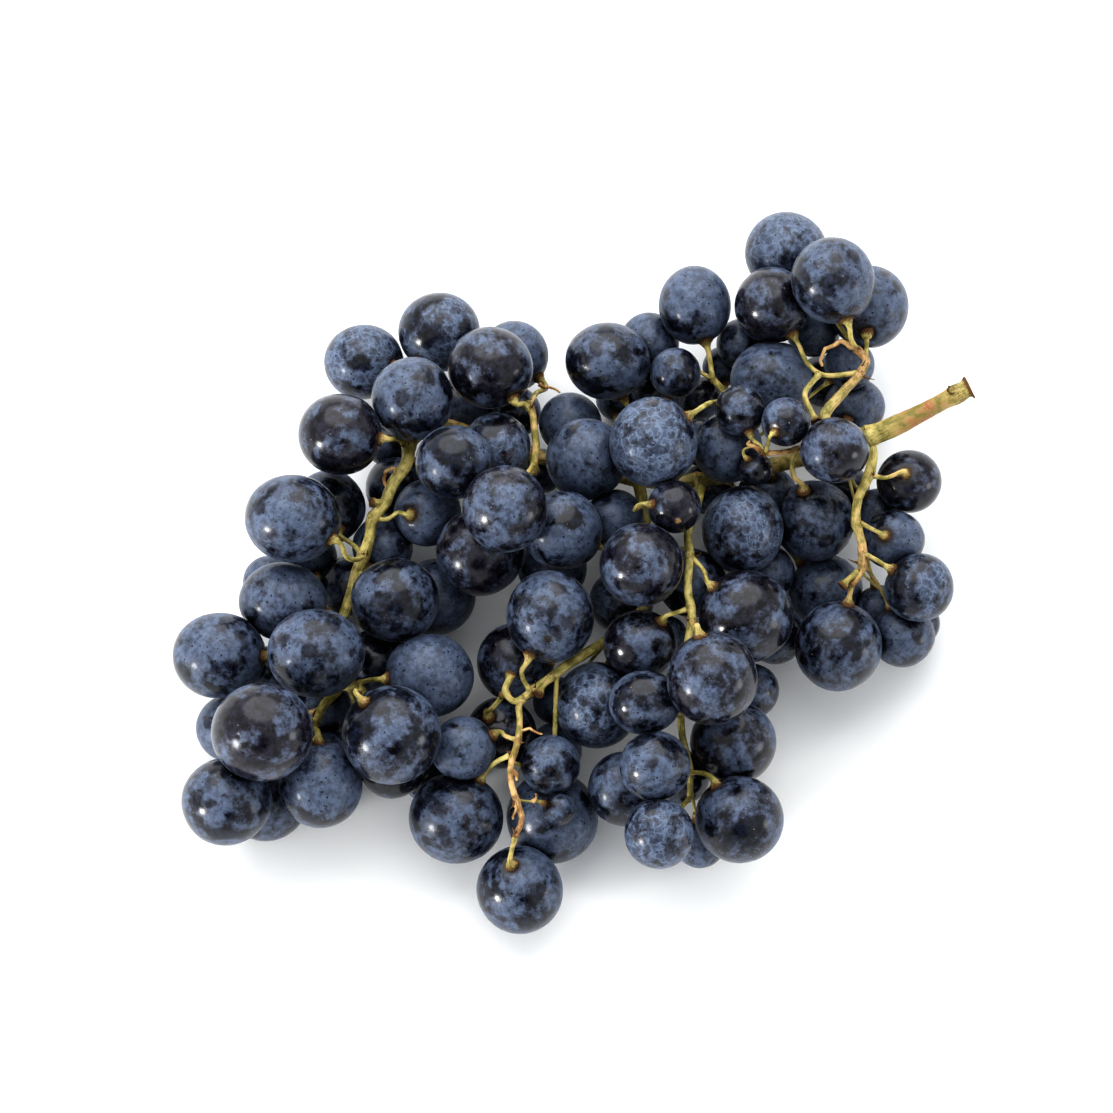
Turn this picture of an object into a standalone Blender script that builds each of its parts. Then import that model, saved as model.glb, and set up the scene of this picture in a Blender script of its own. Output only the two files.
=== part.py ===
"""A bunch of dark blue table grapes as picked, lying on its side on a flat surface.

One woody green rachis carries the peduncle, the laterals and a pedicel to each berry. The berries of each
spray press on one another and are one solid. The lowest ones rest on z = 0 with small flat spots.

The bunch is laid out as it looks along slanting lines of sight: "across" runs to the right, "up" runs away
from the onlooker, and "height" is above the resting plane. All three are in millimetres. A berry keeps to
its line of sight while it settles against its neighbours, so its look from that side doesn't change.
"""

import math

import bmesh
import bpy
import numpy as np

# Driving dimensions, in millimetres
MM = 0.001
SIGHT_SLANT = math.radians(75)
SIGHT_DISTANCE = 1500.0
SIGHT_HEIGHT = 26.0
BOX_MIDDLE = (0.15, 2.59)
PRESS = 1.1
PRESSED_SKIN_RADIUS = 2.6
PRESSED_SKIN_DEPTH = 1.6
PRESSED_SKIN_SHARE = 0.5
PRESSED_ENOUGH = -0.9
CLEARANCE = 0.3
FACET_GROWTH = 1.04
SPRAY_GAP = 0.6
STEM_ROOM = 0.75
FLOOR_SQUASH = 0.5
RESTING_BLOCK = (300.0, 300.0, 20.0)
PEDICEL_GAP = 0.45
RIM_SHARE = 0.98
PEDICEL_RADIUS = 0.85
RECEPTACLE_RADIUS = 1.7
PEDICEL_REACH = 42.0
PEDICEL_BEND = 6.0
LEAST_HEIGHT = 2.0
STUB_THICK = 0.7

# How berries settle: passes and hold of each stage, and the share of a fault mended in one pass
SETTLE_FIRST = (900, 0.5)
SETTLE_LAST = (300, 0.25)
BERRY_PUSH = 0.3
LINK_PULL = 0.15
STEM_PUSH = 0.5
STEP_MOST = 1.0

# What counts against a hidden pedicel's way: its length, a bend, a foot in use, lying too low, and each
# point of it that shows
LENGTH_COST = 0.35
BEND_COST = 9.0
SHARED_FOOT_COST = 3.0
LOW_COST = 20.0
SHOWS_COST = 2.0

# Fineness of the solids and of the sampled lines
BERRY_SUBDIVISIONS = 2
SMALL_BERRY_RADIUS = 8.6
SMALL_BERRY_SIDES = 7
SMALL_BERRY_RINGS = 5
BRANCH_SIDES = 6
PEDICEL_SIDES = 4
HIDDEN_PEDICEL_SIDES = 3
STEM_STEP = 2.0
TIP_SAMPLES = 3
FOOT_STEP = 4.0
PEDICEL_STEPS = 8

# Colours, linear, and roughness
STEM_GREEN = (0.26, 0.25, 0.06)
STEM_ROUGHNESS = 0.6
BERRY_BLUE = (0.03, 0.032, 0.06)
BERRY_ROUGHNESS = 0.45
SHARP_EDGE = math.radians(50)

# Berries of each spray: (across, up, width across, width up, height of the centre)
SPRAYS = {
    "shoulder_top": [
        (52, 78, 20.5, 20.5, 21),
        (63.5, 71, 20.5, 21, 40),
        (72, 64.5, 20, 20.5, 20),
        (48.5, 65, 18.5, 19, 33),
        (58.5, 59, 13.5, 13.5, 10),
        (67.5, 50.5, 12.5, 12.5, 19),
        (68.5, 40.5, 15.5, 14.5, 13),
        (61, 46.5, 13, 13, 11),
        (41, 55.5, 12.5, 12.5, 14),
        (36.5, 50, 10, 10, 6),
        (48.5, 47, 20.5, 19, 26),
    ],
    "shoulder_side": [
        (82, 22, 16, 15.5, 25),
        (74, 14, 13, 13, 13),
        (67, 20.5, 11, 11, 6),
        (78, 8, 15.5, 14.5, 23),
        (84.5, -4, 17, 16.5, 31),
        (80.5, -15.5, 15.5, 15.5, 20),
        (84, -12.5, 11, 11, 6),
        (74.5, -9, 12, 12, 12),
        (64.5, -18, 21.5, 22, 29),
        (61.5, -4.5, 18.5, 18.5, 12),
    ],
    "small_fruit": [
        (40.5, 39.5, 12.3, 12.5, 43),
        (52, 36.5, 12, 12, 42),
        (44.5, 25, 8.2, 8.2, 39),
        (64, 29.5, 16.5, 16, 42),
        (38, 30, 17, 17.5, 30),
        (31, 32, 11.5, 11.5, 17),
        (33, 20, 13, 13, 7),
    ],
    "upper_middle": [
        (30, 65, 18, 19.5, 26),
        (18.5, 56, 15, 15, 15),
        (8, 51.5, 21, 19.5, 27),
        (25.5, 48.5, 12.5, 12.5, 25),
        (31, 42.5, 11, 11, 6),
        (11, 42, 11, 11, 7),
        (21, 43.5, 14, 14, 10),
    ],
    "middle_side": [
        (41.5, 11, 20, 21.5, 35),
        (59.5, 12, 20, 20, 26),
        (42, -11.5, 23, 22.5, 32),
        (47.5, 0, 13.5, 13.5, 20),
        (49.5, -15.5, 14.5, 14.5, 12),
        (47, 19, 15, 15, 9),
        (29, -3, 17, 17, 13),
    ],
    "lower_middle": [
        (34, -26, 22, 22.5, 45),
        (43.5, -29, 13.5, 13.5, 14),
        (39, -41.5, 21, 20.5, 25),
        (40.5, -60.5, 21.5, 21, 32),
        (20, -47.5, 17, 17, 34),
        (21, -64, 16.5, 17, 29),
        (31, -66, 12.5, 12.5, 14),
        (17.5, -31.5, 17.5, 15.5, 36),
        (12.5, -53, 18.5, 18.5, 14),
        (5.5, -32.5, 20.5, 21, 19),
        (14.5, -17.5, 18, 16.5, 28),
        (11, -6, 16, 16, 10),
        (27, -50, 13, 13, 9),
        (25, -16.5, 10, 10, 6),
    ],
    "lower": [
        (-5.5, -11, 21.5, 22.5, 36),
        (-14, -22, 19, 19.5, 20),
        (-17.5, -39.5, 17.5, 17.5, 17),
        (-26.5, -43, 16, 15.5, 28),
        (-28.5, -60, 23, 22, 19),
        (-5.5, -47, 14.5, 14.5, 24),
        (-4.5, -43.5, 13.5, 13.5, 9),
        (-4, -31, 12, 12, 7),
        (-3.5, -58, 8, 8, 27),
        (-5, -60, 22.5, 22.5, 12),
        (-13, -77.5, 21, 21.5, 22),
    ],
    "top_left": [
        (-33, 59, 20.5, 19.5, 20),
        (-51.5, 51, 20, 18.5, 20),
        (-39.5, 42, 20, 20.5, 33),
        (-57, 33.5, 20.5, 20, 26),
        (-27, 40.5, 14.5, 14.5, 16),
        (-19.5, 50, 21, 20, 34),
        (-13.5, 52.5, 17, 17.5, 17),
        (-14, 39, 13, 13, 8),
    ],
    "centre": [
        (19.5, 32, 21.5, 22, 32),
        (3.5, 27, 20, 20, 38),
        (-0.5, 36.5, 15.5, 15.5, 23),
        (-18, 30.5, 17, 17, 29),
        (-29.5, 27, 19, 18, 40),
        (-2.5, 10, 19.5, 19.5, 30),
        (-16.5, 15, 20.5, 21, 44),
        (-23, 5, 21.5, 21.5, 27),
        (16.5, 1.5, 20.5, 20.5, 33),
        (10.5, 13, 14.5, 14.5, 20),
        (-8, 24, 11, 11, 6),
        (25, 16, 13, 13, 35),
        (-5, 1, 17, 17, 9),
    ],
    "left_wing": [
        (-35.5, 14, 16.5, 16.5, 19),
        (-43, 20.5, 15.5, 15.5, 8),
        (-45, 31, 11, 11, 6),
        (-60, 16, 18, 18.5, 10),
        (-68.5, 13, 23.5, 21.5, 29),
        (-46, 6, 15, 15, 8),
    ],
    "left_side": [
        (-70.5, -7, 22, 19, 22),
        (-74.5, -2.5, 13, 13, 7),
        (-63, 3.5, 13, 13, 7),
        (-74.5, -24.5, 13, 13, 7),
        (-86.5, -20.5, 23, 21, 20),
        (-62.5, -20, 24, 21.5, 36),
        (-55.5, -3, 14.5, 14.5, 8),
    ],
    "left_end": [
        (-76, -39, 24.5, 23.5, 41),
        (-84, -37.5, 16.5, 16.5, 12),
        (-84.5, -56, 22, 21, 29),
        (-74.5, -55.5, 21.5, 21.5, 10.5),
        (-61.5, -51.5, 20.5, 21.5, 27),
        (-60, -47, 17.5, 16.5, 9),
        (-61, -33, 14, 14, 7),
    ],
    "left_lower": [
        (-44, -6.5, 21.5, 20.5, 35),
        (-33, -6, 19, 19, 18),
        (-34.5, -25.5, 21.5, 20.5, 22),
        (-44.5, -40, 24, 24, 37),
        (-44, -47, 16.5, 16.5, 12),
        (-36, -50, 12, 12, 6.5),
        (-48.5, -22, 17, 17, 10),
    ],
}

# Stems that carry others: (start radius, end radius, [(across, up, height), ...])
BRANCHES = {
    "peduncle": (2.2, 2.9, [(97.3, 45.3, 42), (92, 42.7, 41), (82, 37.2, 38), (72, 33, 34)]),
    "axis": (
        2.5,
        1.8,
        [(72, 33, 34), (63, 29, 27), (53, 27, 21), (40, 24, 18), (24, 22, 17), (8, 24, 17), (-8, 28, 17),
         (-22, 33, 18), (-34, 36, 21), (-40, 31.5, 26)],
    ),
    "wing_axis": (
        1.9,
        1.3,
        [(-40, 31.5, 26), (-40.5, 26.5, 28), (-44, 21.5, 28), (-46, 16.5, 28), (-49, 12.5, 27),
         (-49.5, 9, 26), (-51, 4.5, 25), (-52.5, 1, 24), (-54, -5, 22), (-56, -11, 21), (-57, -20, 19),
         (-57, -28, 18), (-60.5, -32, 18), (-63, -37, 18)],
    ),
    "top_shoulder": (
        1.9,
        1.0,
        [(72, 33, 34), (66, 35, 36), (61.5, 37, 37), (66, 44, 37), (70, 48.5, 37), (71.5, 51.5, 37),
         (69, 54.5, 38)],
    ),
    "side_shoulder": (
        1.8,
        1.1,
        [(72, 33, 34), (73, 29, 34), (72.5, 25, 33), (69.5, 17.5, 33), (69, 12.5, 33), (70.5, 6.5, 32),
         (70, -0.5, 31), (68, -3, 30)],
    ),
    "small_fruit_lateral": (
        1.2,
        0.8,
        [(63, 29, 27), (56, 30.5, 32), (54.5, 30, 37), (51, 29.2, 40), (47, 29, 41)],
    ),
    "upper_lateral": (1.6, 0.9, [(38, 24, 18), (43, 33, 17), (39, 40, 21), (36, 45, 25), (34, 47, 26)]),
    "middle_lateral": (
        1.5,
        1.0,
        [(30, 23, 17), (31, 20.5, 25), (30, 15, 31), (28, 9, 33), (28.5, 4.5, 33), (28, -4.5, 33),
         (29, -11.5, 34), (28, -17, 33), (27.5, -24, 31), (26.5, -33, 28), (26.5, -39, 27), (28.5, -48, 25),
         (28.5, -55, 23)],
    ),
    "bottom_lateral": (
        1.7,
        1.3,
        [(16, 22.5, 17), (18, 10, 17), (19, -3, 17), (16, -10.5, 18), (10, -15.5, 22), (4.5, -19, 27),
         (-2.5, -23.5, 30), (-10, -29, 31)],
    ),
    "bottom_axis": (
        1.1,
        0.8,
        [(-10, -29, 31), (-13, -32, 31), (-13, -36.5, 31), (-13.5, -41.5, 31), (-15, -46.5, 30),
         (-15, -51.5, 30), (-13.5, -56.5, 30), (-12.5, -60, 30), (-14, -64.5, 30)],
    ),
    "knob_lateral": (
        1.2,
        1.0,
        [(-10, 28.5, 17), (-9, 24.5, 24), (-9.5, 26.5, 30), (-9, 29.5, 31), (-9.5, 35.5, 32), (-10, 39, 32),
         (-11, 41.5, 32)],
    ),
    "top_left_lateral": (1.6, 1.0, [(-34, 36, 21), (-38, 44, 20), (-42, 50, 20)]),
    "side_twig": (1.1, 1.0, [(-57, -28, 18), (-54, -28, 20), (-52, -27, 21)]),
}

# Pedicels that show: the place of the berry that each carries, and its route
PEDICELS = [
    ((63.5, 71), [(69, 54.5, 38), (67.8, 57, 39), (67, 60.5, 40)]),
    ((48.5, 65), [(70, 48.5, 37), (60, 48.5, 37), (57.5, 50.5, 36), (53.5, 57.5, 34)]),
    ((82, 22), [(73, 23.5, 33), (76, 23, 33), (80.5, 24, 33)]),
    ((78, 8), [(70, 12, 33), (73, 10.5, 32), (75.5, 9, 31)]),
    ((84.5, -4), [(71, 4.5, 32), (74, 3, 32), (77, 1, 31.5)]),
    ((80.5, -15.5), [(70.5, 2, 31), (73, -1, 28), (76, -6, 25)]),
    ((64.5, -18), [(68, -3, 30), (67, -7.5, 29.5)]),
    ((59.5, 12), [(54.5, 30, 37), (53.5, 27, 37), (54, 23, 36), (56, 20, 34)]),
    ((40.5, 39.5), [(47, 29, 41), (45.5, 31, 42), (43, 34, 43)]),
    ((52, 36.5), [(47, 29, 41), (47.5, 31, 43), (49, 34, 45)]),
    ((44.5, 25), [(47, 29, 41), (43, 30.5, 41), (41.5, 29.5, 41), (42.5, 27.5, 40.5)]),
    ((30, 65), [(34, 47, 26), (33.5, 51, 26), (32.5, 55.5, 26)]),
    ((19.5, 32), [(39, 40, 21), (35, 41.5, 28), (29, 38.5, 31)]),
    ((42, -11.5), [(29, 3.5, 33), (32, 0, 33), (33.5, -3, 33)]),
    ((14.5, -17.5), [(28.3, -9, 33), (25, -10, 31), (21.5, -12, 29)]),
    ((34, -26), [(29, -12, 34), (30, -14, 37), (31, -15.5, 40)]),
    ((40.5, -60.5), [(28.5, -49, 25), (31, -49, 28), (34, -50.5, 30)]),
    ((25, 16), [(31, 20.5, 25), (22, 18.5, 26), (15, 15, 31), (19, 16.5, 34)]),
    ((-5.5, -11), [(-10.5, -29, 31), (-12, -26.5, 32), (-12.5, -24, 34), (-10.5, -20.5, 35)]),
    ((-17.5, -39.5), [(-17, -30, 30), (-20, -33.5, 27), (-20.5, -35, 24)]),
    ((-26.5, -43), [(-13.3, -41, 31), (-16.5, -40, 30), (-19, -39.5, 29)]),
    ((-28.5, -60), [(-15, -44.5, 30), (-19, -46.5, 28), (-22.5, -50.5, 25)]),
    ((-3.5, -58), [(-14.5, -55.5, 30), (-9.5, -56, 30), (-7, -56.5, 28)]),
    ((-13, -77.5), [(-14, -64.5, 30), (-15, -68, 30), (-15, -71, 30)]),
    ((-19.5, 50), [(-10.5, 39.5, 32), (-12, 41, 32.5), (-14.5, 42, 33)]),
    ((-13.5, 52.5), [(-10.5, 41, 32), (-9, 43.5, 27), (-7.5, 46.5, 20)]),
    ((-35.5, 14), [(-48, 13, 27), (-45, 13, 29), (-42.5, 14.5, 29), (-39.5, 14, 29)]),
    ((-68.5, 13), [(-51, 4, 25), (-53, 3, 27), (-55, 3.5, 28), (-58.5, 8, 29)]),
    ((-60, 16), [(-51.5, 4.5, 25), (-54, 7, 21), (-57, 10, 18)]),
    ((-57, 33.5), [(-40.5, 31, 26), (-43, 32.5, 26), (-46, 32.5, 26)]),
    ((-86.5, -20.5), [(-56.5, -16, 20), (-66, -18, 20), (-75, -20.5, 20)]),
    ((-34.5, -25.5), [(-52, -27, 21), (-49.5, -26.3, 22), (-45.5, -26, 22)]),
    ((-44.5, -40), [(-52, -27, 21), (-52, -29, 24), (-51, -31.5, 28)]),
    ((-61.5, -51.5), [(-63, -37, 18), (-62.5, -39, 21), (-62, -41, 25)]),
]

# Bare stubs whose berries are gone, and dried twigs: (radius, receptacle radius, points)
STUBS = [
    (0.8, 1.5, [(60, 48.3, 37), (56.5, 43, 39), (58, 39.5, 40), (59.5, 36.5, 41)]),
    (0.8, 1.4, [(69.5, 0, 31), (67, -2, 32), (65.5, -3.5, 32)]),
    (0.6, 0.9, [(68.5, 55, 38), (65, 56, 40), (61, 53.5, 39), (60.5, 50, 37)]),
    (0.5, 0.9, [(45.5, 30, 41), (42.5, 31.5, 42), (43, 32, 43)]),
    (0.9, 1.4, [(-12, -31, 31), (-14.5, -31.5, 32), (-16.5, -29, 33), (-15.5, -26, 33), (-15, -24.5, 33)]),
    (0.9, 1.2, [(-16.3, -29.5, 32.7), (-17, -30, 30.2)]),
    (0.9, 1.5, [(-5, -25.5, 31), (-7.5, -28, 32), (-8.5, -30, 32.5)]),
    (0.4, 0.5, [(-13.5, -38.5, 31), (-10, -38.5, 32), (-7.5, -39.5, 33)]),
    (0.5, 0.7, [(-14.5, -49, 30), (-13.5, -50.5, 32)]),
    (0.4, 0.5, [(-9.5, -56, 30), (-9, -54, 32)]),
    (0.4, 0.5, [(-13.7, -56.5, 30), (-14.5, -60, 31.5)]),
    (0.4, 0.5, [(-8, 45.7, 22.6), (-3, 44, 26)]),
    (0.8, 1.2, [(-46, 17, 28), (-49.5, 17, 29)]),
    (0.5, 0.8, [(-45, 20, 28), (-46, 24, 29), (-44, 25.5, 30), (-43, 23.5, 29)]),
    (0.8, 1.2, [(92, 42.7, 41), (92.5, 44.5, 43.5)]),
]


def on_sight_line(across, up, height):
    """The point at this height on the line of sight that passes the middle plane at (across, up)."""
    across, up, height = (np.asarray(value, float) for value in (across, up, height))
    eye_y = -SIGHT_DISTANCE * math.cos(SIGHT_SLANT)
    eye_z = SIGHT_HEIGHT + SIGHT_DISTANCE * math.sin(SIGHT_SLANT)
    plane_y = up * math.sin(SIGHT_SLANT)
    plane_z = SIGHT_HEIGHT + up * math.cos(SIGHT_SLANT)
    share = (height - eye_z) / (plane_z - eye_z)
    return np.stack([share * across, eye_y + share * (plane_y - eye_y), height + 0 * across], axis=-1)


def seen_place(points):
    """Where points show on the middle plane: the inverse of on_sight_line, as (across, up)."""
    eye = np.array([0, -math.cos(SIGHT_SLANT), math.sin(SIGHT_SLANT)]) * SIGHT_DISTANCE
    offset = points - np.array([0, 0, SIGHT_HEIGHT])
    nearness = offset @ eye / SIGHT_DISTANCE
    up = offset @ np.array([0, math.sin(SIGHT_SLANT), math.cos(SIGHT_SLANT)])
    share = 1 - nearness / SIGHT_DISTANCE
    return np.stack([offset[..., 0] / share, up / share], axis=-1)


def reach_of(half, directions):
    """How far an ellipsoid of half-widths reaches from its centre along unit directions."""
    return 1 / np.sqrt(((directions / half) ** 2).sum(-1))


def unit(vectors):
    """Vectors at length 1, and a null vector as straight up."""
    lengths = np.linalg.norm(vectors, axis=-1, keepdims=True)
    return np.where(lengths > 0, vectors / np.maximum(lengths, 1e-9), [0, 0, 1])


class Berries:
    """The berries' centres, half-widths, sprays and lines of sight, as arrays in millimetres."""

    def __init__(self):
        rows = [(spray, *berry) for spray, name in enumerate(SPRAYS) for berry in SPRAYS[name]]
        table = np.array(rows, float)
        self.spray = table[:, 0].astype(int)
        self.seen = table[:, 1:3]
        self.half = np.column_stack([table[:, 3], table[:, 4], table[:, 3:5].mean(axis=1)]) / 2
        self.centre = on_sight_line(self.seen[:, 0], self.seen[:, 1], table[:, 5])

    def gaps(self):
        """The gap between each two berries, negative where they press, and the directions between them."""
        apart = self.centre[:, None] - self.centre[None]
        direction = unit(apart)
        reach = reach_of(self.half[:, None], direction)
        gap = np.linalg.norm(apart, axis=-1) - reach - reach.T
        np.fill_diagonal(gap, np.inf)
        return gap, direction

    def links(self):
        """Pairs that hold each spray together: its shortest spanning tree by gap."""
        gap, _ = self.gaps()
        pairs = []
        for spray in range(len(SPRAYS)):
            members = list(np.flatnonzero(self.spray == spray))
            joined = [members.pop(0)]
            while members:
                nearest = gap[np.ix_(joined, members)]
                row, column = np.unravel_index(nearest.argmin(), nearest.shape)
                pairs.append((joined[row], members[column]))
                joined.append(members.pop(column))
        return np.array(pairs)

    def settle(self, stem_points, stem_radii, passes, hold):
        """Moves berries apart, off the stems and off the resting plane, and each spray's linked berries
        together, while each is held to its line of sight by the share hold."""
        same = self.spray[:, None] == self.spray[None]
        wanted = np.where(same, -PRESS, SPRAY_GAP)
        links = self.links()
        for _ in range(passes):
            gap, direction = self.gaps()
            short = np.clip(wanted - gap, 0, None)
            short[~np.isfinite(short)] = 0
            move = BERRY_PUSH * (short[..., None] * direction).sum(axis=1)
            a, b = links.T
            loose = np.clip(gap[a, b] + PRESS, 0, None)[:, None] * direction[a, b] * LINK_PULL
            np.add.at(move, a, -loose)
            np.add.at(move, b, loose)
            from_stem = self.centre[:, None] - stem_points[None]
            away = unit(from_stem)
            room = np.linalg.norm(from_stem, axis=-1) - reach_of(self.half[:, None], away) - stem_radii
            blocked = np.clip(STEM_ROOM - room, 0, None)
            move += STEM_PUSH * (blocked[..., None] * away).sum(axis=1)
            self.centre = self.centre + np.clip(move, -STEP_MOST, STEP_MOST)
            self.centre[:, 2] = np.maximum(self.centre[:, 2], self.half[:, 2] - FLOOR_SQUASH)
            line = on_sight_line(self.seen[:, 0], self.seen[:, 1], self.centre[:, 2])
            self.centre = self.centre + hold * (line - self.centre)


def seen_route(points):
    """Rows of (across, up, height) as points in the model's millimetres."""
    return on_sight_line(*np.array(points, float).T)


def resample(points, step):
    """Points at even steps of length along a polyline."""
    lengths = np.append(0, np.cumsum(np.linalg.norm(np.diff(points, axis=0), axis=1)))
    at = np.linspace(0, lengths[-1], max(2, int(lengths[-1] / step) + 2))
    return np.column_stack([np.interp(at, lengths, points[:, axis]) for axis in range(3)])


def stem_samples():
    """Points and radii along every stem that shows or carries others, for keeping berries clear of them."""
    points = []
    radii = []
    for start, end, route in BRANCHES.values():
        along = resample(seen_route(route), STEM_STEP)
        points.append(along)
        radii.append(np.linspace(start, end, len(along)))
    for _, route in PEDICELS:
        along = resample(seen_route(route), STEM_STEP)[:-TIP_SAMPLES]
        points.append(along)
        radii.append(np.full(len(along), PEDICEL_RADIUS))
    return np.concatenate(points), np.concatenate(radii)


def facing(berries, index, across, up):
    """The direction from a berry's centre to where its skin shows at a place, or to its rim on that side."""
    half = berries.half[index]
    offset = ([across, up] - seen_place(berries.centre[index])) / half[:2]
    offset = offset * RIM_SHARE / max(np.linalg.norm(offset), RIM_SHARE)
    to_eye = math.sqrt(1 - (offset**2).sum())
    over = np.array([0, math.sin(SIGHT_SLANT), math.cos(SIGHT_SLANT)])
    ahead = np.array([0, -math.cos(SIGHT_SLANT), math.sin(SIGHT_SLANT)])
    return unit(half * [offset[0], 0, 0] + half[1] * offset[1] * over + half[2] * to_eye * ahead)


def shown_pedicels(berries):
    """The pedicels that show, ended on their berries where the table says: [(berry, points), ...]. Their
    heights change evenly from the foot to the end that the settled berry gives."""
    found = []
    for seen, route in PEDICELS:
        berry = int(np.linalg.norm(berries.seen - seen, axis=1).argmin())
        across, up, height = route[-1]
        out = facing(berries, berry, across, up)
        end = berries.centre[berry] + out * (reach_of(berries.half[berry], out) * FACET_GROWTH + PEDICEL_GAP)
        points = np.array(route, float)
        points[:, 2] += np.linspace(0, end[2] - height, len(route))
        found.append((berry, np.vstack([seen_route(points)[:-1], end])))
    return found


def covered(berries, points):
    """Whether a berry lies between each point and the onlooker."""
    offset = seen_place(points)[..., None, :] - seen_place(berries.centre)
    inside = ((offset / berries.half[:, :2]) ** 2).sum(-1) < 1
    return (inside & (berries.centre[:, 2] > points[..., 2:])).any(axis=-1)


def hidden_pedicel(berries, index, feet, uses):
    """A curved pedicel from the branch point that leaves the clearest and shortest way to a berry. Feet
    already in use count as farther away, so pedicels spread along the branches."""
    centre = berries.centre[index]
    choice = np.flatnonzero(np.linalg.norm(feet - centre, axis=1) < PEDICEL_REACH)
    near = feet[choice]
    bends = np.vstack([np.zeros(3), np.eye(3), -np.eye(3)]) * PEDICEL_BEND
    knee = (near[:, None] + centre) / 2 + bends
    out = unit(knee - centre)
    tip = centre + out * (reach_of(berries.half[index], out) * FACET_GROWTH + PEDICEL_GAP)[..., None]
    t = np.linspace(0, 1, PEDICEL_STEPS + 1)[:, None]
    from_foot = near[:, None, None] * (1 - t) ** 2
    to_tip = tip[:, :, None] * t**2
    paths = from_foot + 2 * knee[:, :, None] * t * (1 - t) + to_tip
    others = np.delete(np.arange(len(berries.centre)), index)
    apart = paths[..., None, :] - berries.centre[others]
    inside = reach_of(berries.half[others], unit(apart)) + PEDICEL_RADIUS - np.linalg.norm(apart, axis=-1)
    blocked = (np.clip(inside, 0, None) ** 2).sum(axis=(2, 3))
    length = np.linalg.norm(np.diff(paths, axis=2), axis=-1).sum(axis=2)
    low = np.clip(LEAST_HEIGHT - paths[..., 2].min(axis=2), 0, None)
    bent = np.arange(len(bends)) > 0
    shows = (~covered(berries, paths)).sum(axis=2)
    cost = blocked + LENGTH_COST * length + BEND_COST * bent + LOW_COST * low + SHOWS_COST * shows
    cost = cost + SHARED_FOOT_COST * uses[choice][:, None]
    foot, bend = np.unravel_index(cost.argmin(), length.shape)
    uses[choice[foot]] += 1
    return paths[foot, bend][:: PEDICEL_STEPS // 2 if bent[bend] else PEDICEL_STEPS]


def all_pedicels(berries):
    """One pedicel for each berry, those that show first."""
    pedicels = shown_pedicels(berries)
    attached = {berry for berry, _ in pedicels}
    feet = np.concatenate([resample(seen_route(route), FOOT_STEP) for _, _, route in BRANCHES.values()])
    uses = np.zeros(len(feet))
    for index in range(len(berries.centre)):
        if index not in attached:
            pedicels.append((index, hidden_pedicel(berries, index, feet, uses)))
    return pedicels


def to_world(points):
    """Metres from the model's millimetres, with the origin under the middle of the finished bunch."""
    return (np.asarray(points) - [BOX_MIDDLE[0], BOX_MIDDLE[1], 0]) * MM


def clear_scene():
    for item in list(bpy.data.objects):
        bpy.data.objects.remove(item, do_unlink=True)


def make_material(name, colour, roughness):
    material = bpy.data.materials.new(name)
    material.use_nodes = True
    shader = material.node_tree.nodes["Principled BSDF"]
    shader.inputs["Base Color"].default_value = (*colour, 1)
    shader.inputs["Roughness"].default_value = roughness
    shader.inputs["Metallic"].default_value = 0
    return material


def berry_object(centre, half, collection):
    """One faceted berry. Small ones have fewer facets."""
    mesh = bmesh.new()
    if half.mean() > SMALL_BERRY_RADIUS:
        bmesh.ops.create_icosphere(mesh, subdivisions=BERRY_SUBDIVISIONS, radius=1)
    else:
        bmesh.ops.create_uvsphere(mesh, u_segments=SMALL_BERRY_SIDES, v_segments=SMALL_BERRY_RINGS, radius=1)
        bmesh.ops.triangulate(mesh, faces=mesh.faces[:])
    place = to_world(centre)
    for vertex in mesh.verts:
        vertex.co = [c + v * h * FACET_GROWTH * MM for c, v, h in zip(place, vertex.co, half)]
    return linked_object("berry", mesh, collection)


def resting_block(collection):
    """A block under the resting plane, which cuts the lowest berries flat."""
    mesh = bmesh.new()
    bmesh.ops.create_cube(mesh, size=1)
    for vertex in mesh.verts:
        vertex.co = [vertex.co.x * RESTING_BLOCK[0] * MM, vertex.co.y * RESTING_BLOCK[1] * MM,
                     (vertex.co.z - 0.5) * RESTING_BLOCK[2] * MM]
    return linked_object("resting_block", mesh, collection)


def pressed_skin(berries, first, second, collection):
    """The small round contact where two berries press on each other, as a short plug between them."""
    way = unit(berries.centre[second] - berries.centre[first])
    start = berries.centre[first] + way * (reach_of(berries.half[first], way) - PRESSED_SKIN_DEPTH)
    end = berries.centre[second] - way * (reach_of(berries.half[second], way) - PRESSED_SKIN_DEPTH)
    radius = min(PRESSED_SKIN_RADIUS, PRESSED_SKIN_SHARE * berries.half[[first, second]].min())
    return stem_object([start, end], [radius, radius], BRANCH_SIDES, first, collection)


def linked_object(name, mesh, collection):
    data = bpy.data.meshes.new(name)
    mesh.to_mesh(data)
    mesh.free()
    item = bpy.data.objects.new(name, data)
    collection.objects.link(item)
    return item


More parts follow.
